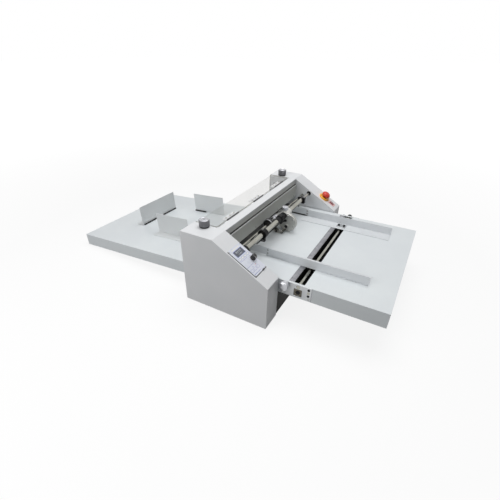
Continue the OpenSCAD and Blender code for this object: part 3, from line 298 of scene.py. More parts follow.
black_rubber = rubber("black_rubber", "19191A", "222223")
roller_rubber = rubber("grey_roller_rubber", "37373A", "2F2F31")
cover_acrylic = clear_acrylic("clear_acrylic", "BDBCB3", 0.06)
acrylic_edge = clear_acrylic("sawn_acrylic_edge", "E6E5DC", 0.7)
core_coat = powder_coat("core_powder_coat", "DADBD9", "D2D3D1", 0.45)
display_glass = moulding("smoked_display_window", "5C606B", "545863", 0.14, coat=0.4)
digit_ink = moulding("display_segments", "D9DEE6", "CDD3DC", 0.4)
blue_ink = moulding("blue_screen_print", "5B6FB5", "5568AD", 0.5)
lilac_ink = moulding("lilac_screen_print", "A7A6CE", "9E9DC6", 0.5)
black_ink = moulding("black_screen_print", "26262A", "1E1E22", 0.5)
white_ink = moulding("white_screen_print", "F1F1EF", "E7E7E4", 0.5)
bronze_block = bare_metal("browned_steel", "6E6A60", "5C5850", 0.5, EVENLY, 1.5)


# Shapes


def hand_over(bm, name, body, finishes, nodes):
    """Turns a finished mesh into a piece that rides on a body and stands for its CAD nodes."""
    mesh = bpy.data.meshes.new(name)
    bmesh.ops.recalc_face_normals(bm, faces=bm.faces)
    for face in bm.faces:
        face.smooth = True
    bm.to_mesh(mesh)
    bm.free()
    mesh.set_sharp_from_angle(angle=math.radians(CREASE))
    for finish in finishes:
        mesh.materials.append(finish)
    piece = bpy.data.objects.new(name, mesh)
    bpy.context.scene.collection.objects.link(piece)
    weighted = piece.modifiers.new("flat_faces_stay_flat", "WEIGHTED_NORMAL")
    weighted.keep_sharp = True
    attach(piece, body)
    if nodes:
        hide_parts(*nodes)
    return piece


def slot_of(node):
    return next(row["material_slot"] for row in frame["record"]["subparts"] if row["node"] == node)


def bevelled(bm, edges, radius, steps):
    """Breaks the sharp ones of some edges, and returns the faces that this makes."""
    sharp = [e for e in edges if len(e.link_faces) == 2 and e.calc_face_angle() > SHARP]
    made = bmesh.ops.bevel(bm, geom=sharp, offset=radius, segments=steps, profile=0.5, affect="EDGES")
    return made["faces"]


def softened(node, finish, radius, steps=2, accents=()):
    """The CAD node's own shape with its edges broken, as bending, moulding or a file leaves them.
    accents are pairs of a test on a face's middle, in millimetres, and the finish of faces that pass."""
    cad = frame["nodes"][node]
    bm = bmesh.new()
    bm.from_mesh(cad.data)
    bmesh.ops.remove_doubles(bm, verts=bm.verts, dist=WELD)
    bmesh.ops.dissolve_limit(bm, angle_limit=math.radians(0.6), verts=bm.verts, edges=bm.edges)
    if radius:
        bevelled(bm, bm.edges, radius * MM, steps)
    for face in bm.faces:
        centre = face.calc_center_median() / MM
        passed = [number for number, (test, _) in enumerate(accents, 1) if test(centre)]
        face.material_index = passed[-1] if passed else 0
    finishes = [finish] + [extra for _, extra in accents]
    return hand_over(bm, node + "_shape", cad["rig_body"], finishes, [node])


def at(x, y, z, axis=(0, 0, 1)):
    """A place whose own +Z points along axis."""
    return Matrix.Translation((x, y, z)) @ Vector(axis).to_track_quat("Z", "Y").to_matrix().to_4x4()


LEFTWARD = (-1, 0, 0)
RIGHTWARD = (1, 0, 0)
FORWARD = (0, -1, 0)
BACKWARD = (0, 1, 0)
DOWNWARD = (0, 0, -1)


def arc(centre, radius, first, last, steps):
    points = []
    for k in range(steps + 1):
        turn = math.radians(first + (last - first) * k / steps)
        points.append((centre[0] + radius * math.cos(turn), centre[1] + radius * math.sin(turn)))
    return points


def hull(*circles):
    """The outline drawn tight round circles of (x, y, radius), as a casting's cheek is."""
    points = [point for x, y, radius in circles for point in arc((x, y), radius, 0, 360, 48)[:-1]]
    return [points[k] for k in convex_hull_2d([Vector(point) for point in points])]


class Shape:
    """A piece in the making, in millimetres. Each part of it has its own finish."""

    def __init__(self, name):
        self.name = name
        self.bm = bmesh.new()
        self.finishes = []

    def _paint(self, faces, finish):
        if finish not in self.finishes:
            self.finishes.append(finish)
        for face in faces:
            face.material_index = self.finishes.index(finish)

    def _break_edges(self, faces, radius, steps, finish):
        edges = dict.fromkeys(e for f in faces for e in f.edges)  # each edge once
        self._paint(bevelled(self.bm, edges, radius, steps), finish)

    def turn(self, finish, rings, place, steps=32, flutes=0, depth=0.0, bore=False):
        """Turns rings of (radius, height) about the place's own Z. A ring's third entry is a number of
        sides, such as 6 for a hex socket, or "flute" for a fluted or knurled grip. The ends are closed,
        or joined to each other where the piece has a bore."""
        loops = []
        for ring in rings:
            radius, height = ring[:2]
            kind = ring[2] if len(ring) > 2 else None
            loop = []
            for k in range(steps):
                turn = 2 * math.pi * k / steps
                r = radius
                if kind == "flute":
                    r -= depth * (0.5 - 0.5 * math.cos(flutes * turn))
                elif kind:
                    half = math.pi / kind
                    r = radius * math.cos(half) / math.cos((turn % (2 * half)) - half)
                spot = Vector((r * math.cos(turn), r * math.sin(turn), height))
                loop.append(self.bm.verts.new(place @ spot))
            loops.append(loop)
        if bore:
            loops.append(loops[0])
            faces = []
        else:
            faces = [self.bm.faces.new(loops[0][::-1]), self.bm.faces.new(loops[-1])]
        for low, high in zip(loops, loops[1:]):
            for k in range(steps):
                n = (k + 1) % steps
                faces.append(self.bm.faces.new((low[k], low[n], high[n], high[k])))
        self._paint(faces, finish)
        return self

    def plate(self, finish, outline, low, high, place=Matrix(), radius=0.3, steps=2, holes=()):
        """A flat outline in the place's own XY, as thick as low to high, with broken edges.
        holes are (x, y, radius) of round bores through it."""
        loops = [outline] + [arc((x, y), bore, 0, 360, 40)[:-1] for x, y, bore in holes]
        faces = []
        levels = []
        for height in (low, high):
            rims = [[self.bm.verts.new(place @ Vector((x, y, height))) for x, y in loop] for loop in loops]
            levels.append(rims)
            if not holes:
                faces.append(self.bm.faces.new(rims[0]))
                continue
            edges = [self.bm.edges.new((rim[k - 1], rim[k])) for rim in rims for k in range(len(rim))]
            made = bmesh.ops.triangle_fill(self.bm, use_beauty=True, edges=edges)["geom"]
            faces += [part for part in made if isinstance(part, bmesh.types.BMFace)]
        for bottom, top in zip(*levels):
            for k in range(len(bottom)):
                faces.append(self.bm.faces.new((bottom[k - 1], bottom[k], top[k], top[k - 1])))
        bmesh.ops.recalc_face_normals(self.bm, faces=faces)
        self._paint(faces, finish)
        if radius:
            self._break_edges(faces, radius, steps, finish)
        return self

    def block(self, finish, low, high, place=Matrix(), radius=0.3, steps=2):
        outline = [(low[0], low[1]), (high[0], low[1]), (high[0], high[1]), (low[0], high[1])]
        return self.plate(finish, outline, low[2], high[2], place, radius, steps)

    def button_screw(self, place, size, finish=None):
        """A button head screw with a hex socket, for a thread of that size."""
        head = 0.95 * size
        rings = [
            (head, 0),
            (head, 0.12 * size),
            (0.86 * head, 0.36 * size),
            (0.62 * head, 0.5 * size),
            (0.36 * size, 0.53 * size, 6),
            (0.33 * size, 0.3 * size, 6),
        ]
        return self.turn(finish or ground_steel, rings, place, 24)

    def cap_screw(self, place, size, finish=None):
        """A socket head cap screw: a cylinder as high as its thread is thick, with a hex socket."""
        head = 0.77 * size
        rings = [
            (head, 0),
            (head, 0.88 * size),
            (0.88 * head, size),
            (0.5 * size, size, 6),
            (0.46 * size, 0.45 * size, 6),
        ]
        return self.turn(finish or black_oxide, rings, place, 24)

    def lettering(self, finish, words, size, place, lift=0.12):
        """Numbers or marks in a plain built-in face, raised as thick as screen print."""
        curve = bpy.data.curves.new("marks", "FONT")
        curve.body = words
        curve.size = size
        curve.extrude = lift
        curve.resolution_u = 3
        curve.align_x = "CENTER"
        curve.align_y = "CENTER"
        holder = bpy.data.objects.new("marks", curve)
        mesh = bpy.data.meshes.new_from_object(holder)
        mesh.transform(place)
        before = set(self.bm.faces)
        self.bm.from_mesh(mesh)
        self._paint([f for f in self.bm.faces if f not in before], finish)
        bpy.data.objects.remove(holder)
        bpy.data.curves.remove(curve)
        bpy.data.meshes.remove(mesh)
        return self

    def settle(self, body, slot, *nodes):
        """Turns millimetres to metres and hands the piece over."""
        bmesh.ops.scale(self.bm, vec=(MM, MM, MM), verts=self.bm.verts)
        return hand_over(self.bm, self.name, body, self.finishes, nodes)


def round_rectangle(width, height, radius, centre=(0, 0), steps=4):
    points = []
    for sx, sy, start in ((1, 1, 0), (-1, 1, 90), (-1, -1, 180), (1, -1, 270)):
        cx = centre[0] + sx * (width / 2 - radius)
        cy = centre[1] + sy * (height / 2 - radius)
        for k in range(steps + 1):
            turn = math.radians(start + 90 * k / steps)
            points.append((cx + radius * math.cos(turn), cy + radius * math.sin(turn)))
    return points


# Housings, frames and base


def sheet_metal():
    """Folded and powder coated sheet. A white strip and a black strip on the panel's top edge paint its
    highlight and the shadow line under the lip, and a black strip on the feed table's tongue paints the shade
    under the beam.
    """
    for node in ("left_housing", "right_housing", "inner_covers"):
        softened(node, white_coat, 0.3)
    softened("side_frames", dark_coat, 0.4)
    softened("base_tray", dark_coat, 0.4)
    # The front apron is black to paint the shade of the space under the feed table.
    softened("front_apron", black_coat, 0.4)
    softened("beam_core", core_coat, 0.6)
    softened("beam_top_cover", white_coat, 0.4)
    softened("beam_front_panel", grey_coat, 0.4)
    panel_low, panel_high = span("beam_front_panel")
    painted_light_trim = Shape("panel_edge_painted_highlight_and_shadow")
    # A white strip along the panel's top front edge: a painted highlight.
    painted_light_trim.block(white_coat, (panel_low.x + 1, panel_low.y - 0.5, panel_high.z - 2.6),
        (panel_high.x - 1, panel_low.y + 1, panel_high.z + 0.5), Matrix(), 0.3)
    # A black strip behind it: the painted shadow line of the gap under the top cover's lip.
    painted_light_trim.block(black_rubber, (panel_low.x + 1, panel_low.y + 2, panel_high.z - 0.5),
        (panel_high.x - 1, panel_high.y - 0.2, panel_high.z + 0.7), Matrix(), 0.3)
    painted_light_trim.settle("frame", "grey_panel")
    softened("table_bottom_plates", zinc_sheet, 0.3)
    softened("delivery_table", table_coat, 0.6, 3)
    softened("feed_table", table_coat, 0.3)
    # A black strip over the feed table's tongue: painted shade under the beam panel and behind the feed bar.
    strip = Shape("painted_shade_infeed_strip")
    low, high = (-INNER_X + 6, -147, TABLE_Z - 0.1), (INNER_X - 6, table_high.y - 1, TABLE_Z + 0.4)
    strip.block(black_moulding, low, high, Matrix(), 0.15)
    strip.settle("frame", "black_plastic")


def housing_screws():
    """Button screws that hold the housings' rear walls, and the sheet screws of the inner covers."""
    screws = Shape("housing_screws")
    for side in (-1, 1):
        for x in (INNER_X + 12, OUTER_X - 12):
            for z in (20, 130, TOP_Z - 22):
                screws.button_screw(at(side * x, REAR_Y, z, BACKWARD), 4)
        for y, z in ((FRONT_Y + 20, 60), (FRONT_Y + 20, 134)):
            screws.button_screw(at(side * INNER_X, y, z, (-side, 0, 0)), 3)
    screws.settle("frame", "steel")


def rubber_feet():
    """Turned rubber feet, each with a steel cup and the screw that holds it."""
    feet = Shape("turned_feet")
    for low, high in loose_parts("rubber_feet"):
        place = at((low.x + high.x) / 2, (low.y + high.y) / 2, 0)
        feet.turn(black_rubber, [(12.6, 0), (14.4, 1.2), (15, 3), (15, high.z)], place, 40)
        feet.turn(zinc_sheet, [(6.5, 0.9), (6.5, 1.6), (5.6, 1.6), (5.6, 0.9)], place, 24, bore=True)
    feet.settle("frame", "rubber", "rubber_feet")


def loose_parts(node):
    """The boxes of a node's separate solids, in millimetres."""
    bm = bmesh.new()
    bm.from_mesh(frame["nodes"][node].data)
    bmesh.ops.remove_doubles(bm, verts=bm.verts, dist=WELD)
    left = set(bm.verts)
    boxes = []
    while left:
        queue = [left.pop()]
        found = list(queue)
        while queue:
            for edge in queue.pop().link_edges:
                for vert in edge.verts:
                    if vert in left:
                        left.remove(vert)
                        queue.append(vert)
                        found.append(vert)
        low = Vector([min(v.co[i] for v in found) for i in range(3)]) / MM
        high = Vector([max(v.co[i] for v in found) for i in range(3)]) / MM
        boxes.append((low, high))
    bm.free()
    return sorted(boxes, key=lambda b: (round(b[0].x), round(b[0].y), round(b[0].z)))


# Feed table, slot and side guides


def slot_fittings():
    softened("slot_channel", black_coat, 0.3)
    softened("slot_end_plates", plate_aluminium, 0.3)
    softened("guide_rod", hard_chrome, 0.6)
    for side in ("left", "right"):
        softened(side + "_guide_carriage", black_moulding, 0.5)
    fittings = Shape("end_plate_fittings")
    face = -END_PLATE_X
    block_place = at(face + 1.4, ROD_Y, 121, LEFTWARD)
    fittings.plate(bronze_block, round_rectangle(25, 25, 3), -6, 0, block_place, 0.5)
    fittings.turn(black_oxide, [(7.5, 0, 6), (7.5, 1.0, 6), (6.6, 1.3, 6), (2, 1.3)], block_place, 36)
    for y, z in ((-398, 142), (-398, 120)):
        fittings.button_screw(at(face, y, z, LEFTWARD), 4.2, black_oxide)
    fittings.turn(hard_chrome, [(4.4, 0), (4.4, 0.5), (3.6, 0.7)], at(face, -398, 131, LEFTWARD), 24)
    for side in (-1, 1):
        for y, z in ((-400, 109), (-316, 109)):
            place = at(side * END_PLATE_X, y, z, (side, 0, 0))
            fittings.button_screw(place, 3.5)
    fittings.settle("frame", "aluminium")


def scale_strip():
    """The scale beside the slot: anodised strip with a printed line each 5 mm and a number each 50 mm.
    Real graduations are 1 mm apart and too fine to show, so only every fifth is drawn."""
    strip = Shape("scale_strip")
    strip.block(scale_aluminium, scale_low, scale_high, Matrix(), 0.08, 1)
    top = scale_high.z
    front = scale_low.y
    line_step = 5
    number_step = 50
    half_line = 0.28
    reach = int(scale_high.x / line_step)
    for k in range(-reach, reach + 1):
        x = line_step * k
        length = 9 if k % 10 == 0 else 6.5 if k % 2 == 0 else 4
        start = (x - half_line, front + 0.6, top - 0.1)
        strip.block(black_ink, start, (x + half_line, front + 0.6 + length, top + 0.03), Matrix(), 0)
    for k in range(-5, 6):
        place = Matrix.Translation((number_step * k, front + 13, top))
        strip.lettering(black_ink, str(abs(number_step * k)), 5.2, place, 0.03)
    strip.settle("frame", "aluminium", "slot_scale")


def side_guides():
    for side, node, body in ((-1, "left_side_guide", "left_guide"), (1, "right_side_guide", "right_guide")):
        softened(node, guide_coat, 0.3)
        low, high = span(node)
        blade_x = low.x + 1.5 if side < 0 else high.x - 3
        foot_x = (high.x - 25) if side < 0 else (low.x + 25)
        fixings = Shape(node + "_fixings")
        for y, z in ((-213.5, 173), (-213.5, 161)):
            fixings.button_screw(at(blade_x, y, z, LEFTWARD), 4)
            fixings.button_screw(at(blade_x + 3, y, z, RIGHTWARD), 4)
        foot_z = low.z + 1.5
        clamp_place = Matrix.Translation((foot_x, ROD_Y, foot_z))
        fixings.plate(brushed_aluminium, round_rectangle(26, 34, 4), 0, 2.4, clamp_place, 0.5)
        for y in (-10, 10):
            fixings.cap_screw(clamp_place @ Matrix.Translation((0, y, 2.4)), 5)
        # On the right guide only, a black strip under the tail: painted shadow of the gap beneath it.
        if side > 0:
            painted_shadow_low = (high.x - 3.4, -215.5, TABLE_Z + 0.8)
            fixings.block(black_rubber, painted_shadow_low, (high.x + 0.4, -146.5, TABLE_Z + 5), Matrix(), 0.4)
        fixings.settle(body, "steel")


def side_knobs():
    """A turned aluminium register knob on the left and a moulded lock knob on the right."""
    place = at(-KNOB_X, REGISTER_Y, REGISTER_Z, LEFTWARD)
    knob = Shape("register_knob_turned")
    knob.turn(ground_steel, [(4, -14), (4, 1)], place, 24)
    hub = [(11.5, 0), (13, 1), (13, 6.5), (11.8, 7.4), (11.8, 8.2)]
    knob.turn(turned_aluminium, hub, place, 48)
    grip = [(11.8, 8), (14.2, 8), (15, 8.8, "flute"), (15, 17.6, "flute"), (14.3, 19)]
    dome = [(13.2, 20.2), (10.6, 21.4), (6.5, 22), (3.4, 22), (2.6, 21.2)]
    knob.turn(turned_aluminium, grip + dome, place, 180, 45, 0.5)
    knob.settle("register_knob", "knob_aluminium", "register_knob")
    place = at(KNOB_X, ROD_Y, ROD_Z, RIGHTWARD)
    knob = Shape("lock_knob_moulded")
    rings = [(7, 0), (8, 0.8), (8, 3), (10, 4.2, "flute"), (10, 15.4, "flute"), (9, 17.4), (6, 18), (3, 18)]
    knob.turn(black_moulding, rings, place, 96, 8, 2.2)
    knob.settle("guide_lock_knob", "black_plastic", "guide_lock_knob")


# Feed bar and feed head


def feed_bar():
    softened("feed_bar", hard_chrome, 0.5)
    softened("bar_end_collars", black_oxide, 0.6)
    softened("bar_clamp", black_oxide, 0.8)
    softened("feed_shaft", hard_chrome, 0.3)
    screws = Shape("collar_screws")
    clamp_low, clamp_high = loose_parts("bar_end_collars")[1]
    for y in (clamp_low.y + 4.5, clamp_high.y - 4.5):
        screws.cap_screw(at((clamp_low.x + clamp_high.x) / 2, y, clamp_high.z - 2.5), 5, ground_steel)
    collar_low, collar_high = loose_parts("bar_end_collars")[0]
    screws.cap_screw(at((collar_low.x + collar_high.x) / 2, BAR_Y, collar_high.z - 2.5), 4)
    screws.settle("frame", "steel")
    clamp_low, clamp_high = span("bar_clamp")
    clamp_x = (clamp_low.x + clamp_high.x) / 2
    screws = Shape("bar_clamp_screws")
    screws.cap_screw(at(clamp_x, BAR_Y + 2, clamp_high.z - 3), 5, ground_steel)
    lug = at(clamp_x - 6, BAR_Y - 2, clamp_low.z + 7, LEFTWARD)
    screws.cap_screw(lug @ Matrix.Translation((0, 0, -2.5)), 5, ground_steel)
    pad = at(clamp_x, BAR_Y - 2, clamp_low.z, DOWNWARD)
    screws.turn(black_rubber, [(4.6, -3), (4.6, -0.2), (4.0, 0)], pad, 24)
    screws.settle("bar_clamp", "steel")


ALONG_X = Matrix(((0, 0, 1, 0), (1, 0, 0, 0), (0, 1, 0, 0), (0, 0, 0, 1)))


def feed_head():
    """The cast head: a broad left cheek with a raised rim, a small right cheek, the hubs between them,
    a black sleeve on the bar, and a ball pin that holds the sheet down. The belt and roller show between.
    A black patch on the left cheek paints the shade of a recess, and a black band under the rim paints the
    shadow of the gap there."""
    left = head_low.x
    right = head_high.x
    cheek = 5
    cheek_y = -197.5
    cheek_z = 188
    cheek_radius = 34
    rim_radius = 30.6
    screw_circle = 27.5
    bores = [
        (BAR_Y, BAR_Z, 9.2),
        (FEED_SHAFT_Y, FEED_SHAFT_Z, 7.7),
        (PICKUP_Y, PICKUP_Z, 4.2),
    ]
    hubs = [(BAR_Y, BAR_Z, 15), (FEED_SHAFT_Y, FEED_SHAFT_Z, 13)]
    head = Shape("head_casting")
    outline = hull((cheek_y, cheek_z, cheek_radius), *hubs)
    head.plate(cast_aluminium, outline, left, left + cheek, ALONG_X, 0.9, 3, bores)
    outline = hull((PICKUP_Y, PICKUP_Z, 10), *hubs)
    head.plate(cast_aluminium, outline, right - cheek, right, ALONG_X, 0.9, 3, bores)
    # The black band between the cheek and the rim is painted shadow of the gap under the rim.
    for low, high, reach, finish in ((4, 7.5, 32.6, black_oxide), (6.8, 11.5, cheek_radius, cast_aluminium)):
        band = arc((cheek_y, cheek_z), reach, 84, 214, 26)
        band += arc((cheek_y, cheek_z), rim_radius, 214, 84, 26)
        head.plate(finish, band, left + low, left + high, ALONG_X, 0.5)
    hub = [(15, 1), (15, right - left - 1), (9.2, right - left - 1), (9.2, 1)]
    head.turn(cast_aluminium, hub, at(left, BAR_Y, BAR_Z, RIGHTWARD), 56, bore=True)
    head.turn(cast_aluminium, [(4.5, 1), (4.5, right - left - 1)], at(left, -191, 196, RIGHTWARD), 24)
    boss = [(7, 10), (7, 16.6), (6.2, 18), (3.2, 18), (3.2, 10)]
    head.turn(cast_aluminium, boss, at(THUMB_X, BAR_Y, BAR_Z), 32, bore=True)
    cap = [(13, -1), (13, 1.6), (12, 2.4), (9.4, 2.4), (8.6, 1.2), (7.7, 1.2), (7.7, -1)]
    head.turn(turned_aluminium, cap, at(right, FEED_SHAFT_Y, FEED_SHAFT_Z, RIGHTWARD), 48, bore=True)
    sleeve = [(13.4, -0.3), (13.8, 0.6), (13.8, 35), (12.6, 36.6), (10.5, 37), (10.5, 59.4), (9.9, 60)]
    sleeve += [(9.2, 60), (9.2, -0.3)]
    head.turn(black_oxide, sleeve, at(left, BAR_Y, BAR_Z, LEFTWARD), 56, bore=True)
    head.cap_screw(at(left - 28, BAR_Y - 9, BAR_Z + 9, (0, -0.7, 0.7)), 4)
    for turn in (92, 146, 204):
        y = screw_circle * math.cos(math.radians(turn))
        z = screw_circle * math.sin(math.radians(turn))
        head.button_screw(at(left, cheek_y + y, cheek_z + z, LEFTWARD), 4)
    boss = [(10.5, -1), (10.5, 1.4), (9.6, 2.2), (6.6, 2.2), (6.2, 1.2)]
    head.turn(cast_aluminium, boss, at(left, PICKUP_Y, PICKUP_Z + 1.5, LEFTWARD), 48)
    head.turn(black_rubber, [(6.3, 1), (6.3, 1.9), (4, 1.9), (3.6, 1.4)],
        at(left, PICKUP_Y, PICKUP_Z + 1.5, LEFTWARD), 40)
    # A thin black patch on the left cheek: painted shade of the recess there.
    painted_shade_pocket = [(-176.5, 180.5), (-180, 185.5), (-185.5, 188.5), (-192, 190), (-195.5, 194), (-193, 198.5)]
    painted_shade_pocket += [(-186, 200), (-176, 198), (-166, 196), (-161, 189), (-161.5, 181), (-168, 176), (-174, 176)]
    head.plate(black_rubber, painted_shade_pocket, left - 0.6, left + 0.4, ALONG_X, 0.25)
    pin = [(1.5, 0.8), (3, 2), (3.6, 4), (3.2, 6), (2.2, 6.6), (2.2, 12)]
    head.turn(polished_steel, pin, at(left + 2.5, -206.5, TABLE_Z), 24)
    head.settle("feed_head", "head_casting", "feed_head")


def separator():
    """The bright curved plate that lifts the top sheet, with its two screws and a brake pad."""
    low, high = span("separator_plate")
    plate = Shape("separator_bent")
    y0 = low.y
    y1 = high.y
    z0 = TABLE_Z + 1
    outline = [(y0, z0 + 7), (y0 + 3, z0 + 3.4), (y0 + 7.5, z0 + 0.8), (y0 + 12, z0), (y1 - 14, z0)]
    outline += [(y1 - 9, z0 + 1.4), (y1 - 3, z0 + 5.6), (y1, z0 + 7.8)]
    upper = [(y, z + 1.2) for y, z in reversed(outline)]
    plate.plate(polished_steel, outline + upper, low.x, high.x, ALONG_X, 0.3)
    tab_low = (high.x - 1.2, y0, z0 + 0.4)
    plate.block(polished_steel, tab_low, (high.x, y0 + 16, z0 + 11), Matrix(), 0.3)
    for x in (low.x + 7, low.x + 19):
        plate.button_screw(at(x, y0 + 19, z0 + 1.2), 4)
    plate.block(black_rubber, (low.x + 3, y1 - 13, z0 + 1), (low.x + 11, y1 - 7, z0 + 3.4), Matrix(), 0.5)
    plate.settle("feed_head", slot_of("separator_plate"), "separator_plate")


def thumb_knob():
    low, high = span("head_thumb_knob")
    height = 14
    base = high.z - height
    place = at(THUMB_X, BAR_Y, base)
    knob = Shape("thumb_knob_turned")
    knob.turn(ground_steel, [(3, low.z - base), (3, 1)], place, 24)
    rings = [(8, 0), (8, 1.6), (11, 2), (12, 2.8, "flute"), (12, 12, "flute"), (11.2, 13), (9.6, 13.4)]
    rings += [(8.6, 13), (4, 13), (3.4, height), (1.5, height)]
    knob.turn(turned_aluminium, rings, place, 160, 40, 0.6)
    knob.settle("thumb_knob", slot_of("head_thumb_knob"), "head_thumb_knob")


def clutch_and_roller():
    """A stepped clutch hub with a knurled ring, and a ground rubber roller with grooves that grip."""
    low, high = span("clutch_hub")
    start = low.x
    place = at(start, FEED_SHAFT_Y, FEED_SHAFT_Z, RIGHTWARD)
    hub = Shape("clutch_hub_turned")
    outer = [(10.4, 0), (11.2, 0.8), (11.2, 5), (12, 5.4), (13, 6, "flute"), (13, 17, "flute"), (12, 17.6)]
    outer += [(11, 18), (11, 20.5), (12.6, 21), (12.6, 30.4), (11.8, 31.2), (11.8, 32.7), (7.5, 32.7)]
    outer += [(7.5, high.x - start), (5.05, high.x - start), (5.05, 0)]
    hub.turn(turned_aluminium, outer, place, 144, 36, 0.5, bore=True)
    belt_low, belt_high = span("head_belt")
    pulley = [(7, belt_low.x - start - 1.4), (9, belt_low.x - start - 1.4), (9, belt_low.x - start)]
    pulley += [(7.6, belt_low.x - start), (7.6, belt_high.x - start), (9, belt_high.x - start)]
    pulley += [(9, belt_high.x - start + 1.4), (7, belt_high.x - start + 1.4)]
    hub.turn(turned_aluminium, pulley, place, 48, bore=True)
    hub.cap_screw(place @ Matrix.Translation((0, 10.4, 3)) @ Matrix.Rotation(-math.pi / 2, 4, "X"), 3)
    hub.settle("clutch_hub", slot_of("clutch_hub"), "clutch_hub")
    low, high = span("pickup_roller")
    roller = Shape("pickup_roller_ground")
    radius = (high.z - low.z) / 2
    place = at(0, PICKUP_Y, PICKUP_Z, RIGHTWARD)
    roller.turn(ground_steel, [(4, low.x), (4, high.x)], place, 24)
    face = belt_high.x + 3
    end = high.x - 5
    rings = [(radius - 5, face), (radius - 0.8, face), (radius, face + 0.8)]
    for k in range(1, 5):
        x = face + 0.8 + k * (end - face - 1.6) / 5
        rings += [(radius, x - 0.5), (radius - 0.9, x - 0.3), (radius - 0.9, x + 0.3), (radius, x + 0.5)]
    rings += [(radius, end - 0.8), (radius - 0.8, end), (radius - 5, end)]
    roller.turn(roller_rubber, rings, place, 64)
    roller.turn(turned_aluminium, [(radius - 5.2, face - 0.2), (radius - 5.2, end + 0.2)], place, 48)
    roller.turn(turned_aluminium, [(9, belt_low.x - 1.4), (9, belt_high.x + 2.2)], place, 48)
    roller.settle("pickup_roller", slot_of("pickup_roller"), "pickup_roller")
    softened("head_belt", black_rubber, 0.2)


def feed_wheel():
    """The hand wheel on the feed shaft: black moulding, dished, with a bright turned rim and a set screw."""
    low, high = span("feed_wheel")
    place = at(low.x, FEED_SHAFT_Y, FEED_SHAFT_Z, RIGHTWARD)
    width = high.x - low.x
    wheel = Shape("feed_wheel_moulded")
    disc = [(5, 0.4), (9, 0.4), (9, 2.6), (16, 2.6), (16, 0.6), (18.4, 0.6), (18.4, 1.8), (19.6, 2, "flute")]
    disc += [(20, 2.6, "flute"), (20, width - 1, "flute"), (19.2, width), (5, width)]
    wheel.turn(black_moulding, disc, place, 180, 60, 0.4, bore=True)
    rim = [(17.4, 0.8), (17.9, 0), (19.4, 0), (20, 0.6), (20, 1.8), (17.4, 1.8)]
    wheel.turn(turned_aluminium, rim, place, 96, bore=True)
    for k in range(5):
        turn = 2 * math.pi * k / 5
        hole = place @ Matrix.Translation((12.6 * math.cos(turn), 12.6 * math.sin(turn), 2.3))
        wheel.turn(black_oxide, [(2.2, 0), (2.2, 0.6), (1.7, 0.6), (1.6, 0.1)], hole, 20)
    wheel.settle("feed_shaft", slot_of("feed_wheel"), "feed_wheel")


# Creasing unit and drive


def creasing_unit():
    softened("shaft_bearings", ground_steel, 0.5)
    for node, finish, radius in (
        ("upper_crease_shaft", ground_steel, 0.1),
        ("lower_crease_shaft", ground_steel, 0.1),
        ("crease_disc", hard_chrome, 0.1),
        ("crease_ring", hard_chrome, 0.1),
        ("upper_pull_rollers", roller_rubber, 0.6),
        ("lower_pull_rollers", roller_rubber, 0.6),
    ):
        softened(node, finish, radius)
    softened("drive_motor", motor_coat, 1.2, 3)
    softened("drive_belts", black_rubber, 0.1)
    softened("motor_pulley", turned_aluminium, 0.2)


def pressure_knobs():
    """Knurled grey grips with a bright turned crown, over a black collar that paints the shadow gap at the
    housing.
    """
    height = 25
    for side, node in ((-1, "left_pressure_knob"), (1, "right_pressure_knob")):
        low, high = span(node)
        base = high.z - height
        place = at(side * FRAME_X, SHAFT_Y, base)
        knob = Shape(node + "_turned")
        knob.turn(ground_steel, [(5, low.z - base), (5, 1)], place, 32)
        # A black ring at the foot of the grip: painted shadow of the gap between the knob and the housing.
        knob.turn(black_oxide, [(15.6, 0), (16.4, 0.6), (16.4, 2.4), (15.4, 3.2)], place, 64)
        grip = [(15.4, 3), (16.6, 3.2, "flute"), (17, 4, "flute"), (17, 22.6, "flute"), (16.6, 23.4, "flute")]
        knob.turn(knurled_grey, grip + [(15.4, 24)], place, 240, 60, 0.55)
        crown = [(15.3, 23), (15.3, 24.2), (14.7, 24.6), (13.8, 24.6), (13.2, 24.1), (9, 24.1)]
        knob.turn(turned_aluminium, crown + [(8.2, 25), (3.2, 25), (2.9, 23.6)], place, 96)
        dot = place @ Matrix.Translation((-side * 11.3, 0, 23.6))
        knob.turn(black_oxide, [(1.3, 0), (1.3, 0.55), (0.9, 0.55), (0.8, 0.1)], dot, 20)
        screw = place @ Matrix.Rotation(math.radians(235), 4, "Z") @ Matrix.Translation((16.3, 0, 12))
        knob.turn(black_oxide, [(2.2, 0), (2.2, 0.7), (1.4, 0.7), (1.3, 0.2)],
            screw @ Matrix.Rotation(math.pi / 2, 4, "Y"), 24)
        knob.settle(node, slot_of(node), node)


# Cover, hinges and beam


def clear_cover():
    """The bent acrylic cover, its sawn ends and edges denser than its faces, and its hinge screws."""
    low, high = span("clear_cover")
    ends = (lambda c: abs(c.x) > high.x - 0.7, acrylic_edge)
    bottom = (lambda c: c.z < low.z + 0.7, acrylic_edge)
    front = (lambda c: c.y < low.y + 0.7, acrylic_edge)
    softened("clear_cover", cover_acrylic, 0.4, 2, [ends, bottom, front])
    flap = (lambda c: c.y > -77.6, white_coat)
    softened("cover_hinge_arms", grey_steel, 0.2, 2, [flap])
    softened("cover_hinge_leaves", grey_steel, 0)
    screws = Shape("cover_screws")
    for hinge_x in (-178, 0, 178):
        for aside in (-24, 0, 24):
            screws.button_screw(at(hinge_x + aside, low.y + 10, high.z), 3, hard_chrome)
    screws.settle("cover", "steel")
    seal = Shape("beam_brush_seal")
    for first, last in ((-262, -226), (-131, -48), (48, 131), (226, 262)):
        seal.block(black_rubber, (first, -84.6, 259), (last, -79, 261.4), Matrix(), 0.4)
    seal.settle("frame", "rubber")
    screws = Shape("beam_screws")
    panel_low, panel_high = span("beam_front_panel")
    for x in (-255, -90, 90, 255):
        screws.button_screw(at(x, panel_low.y, panel_low.z + 8, FORWARD), 3)
    screws.settle("frame", "steel")


# Console


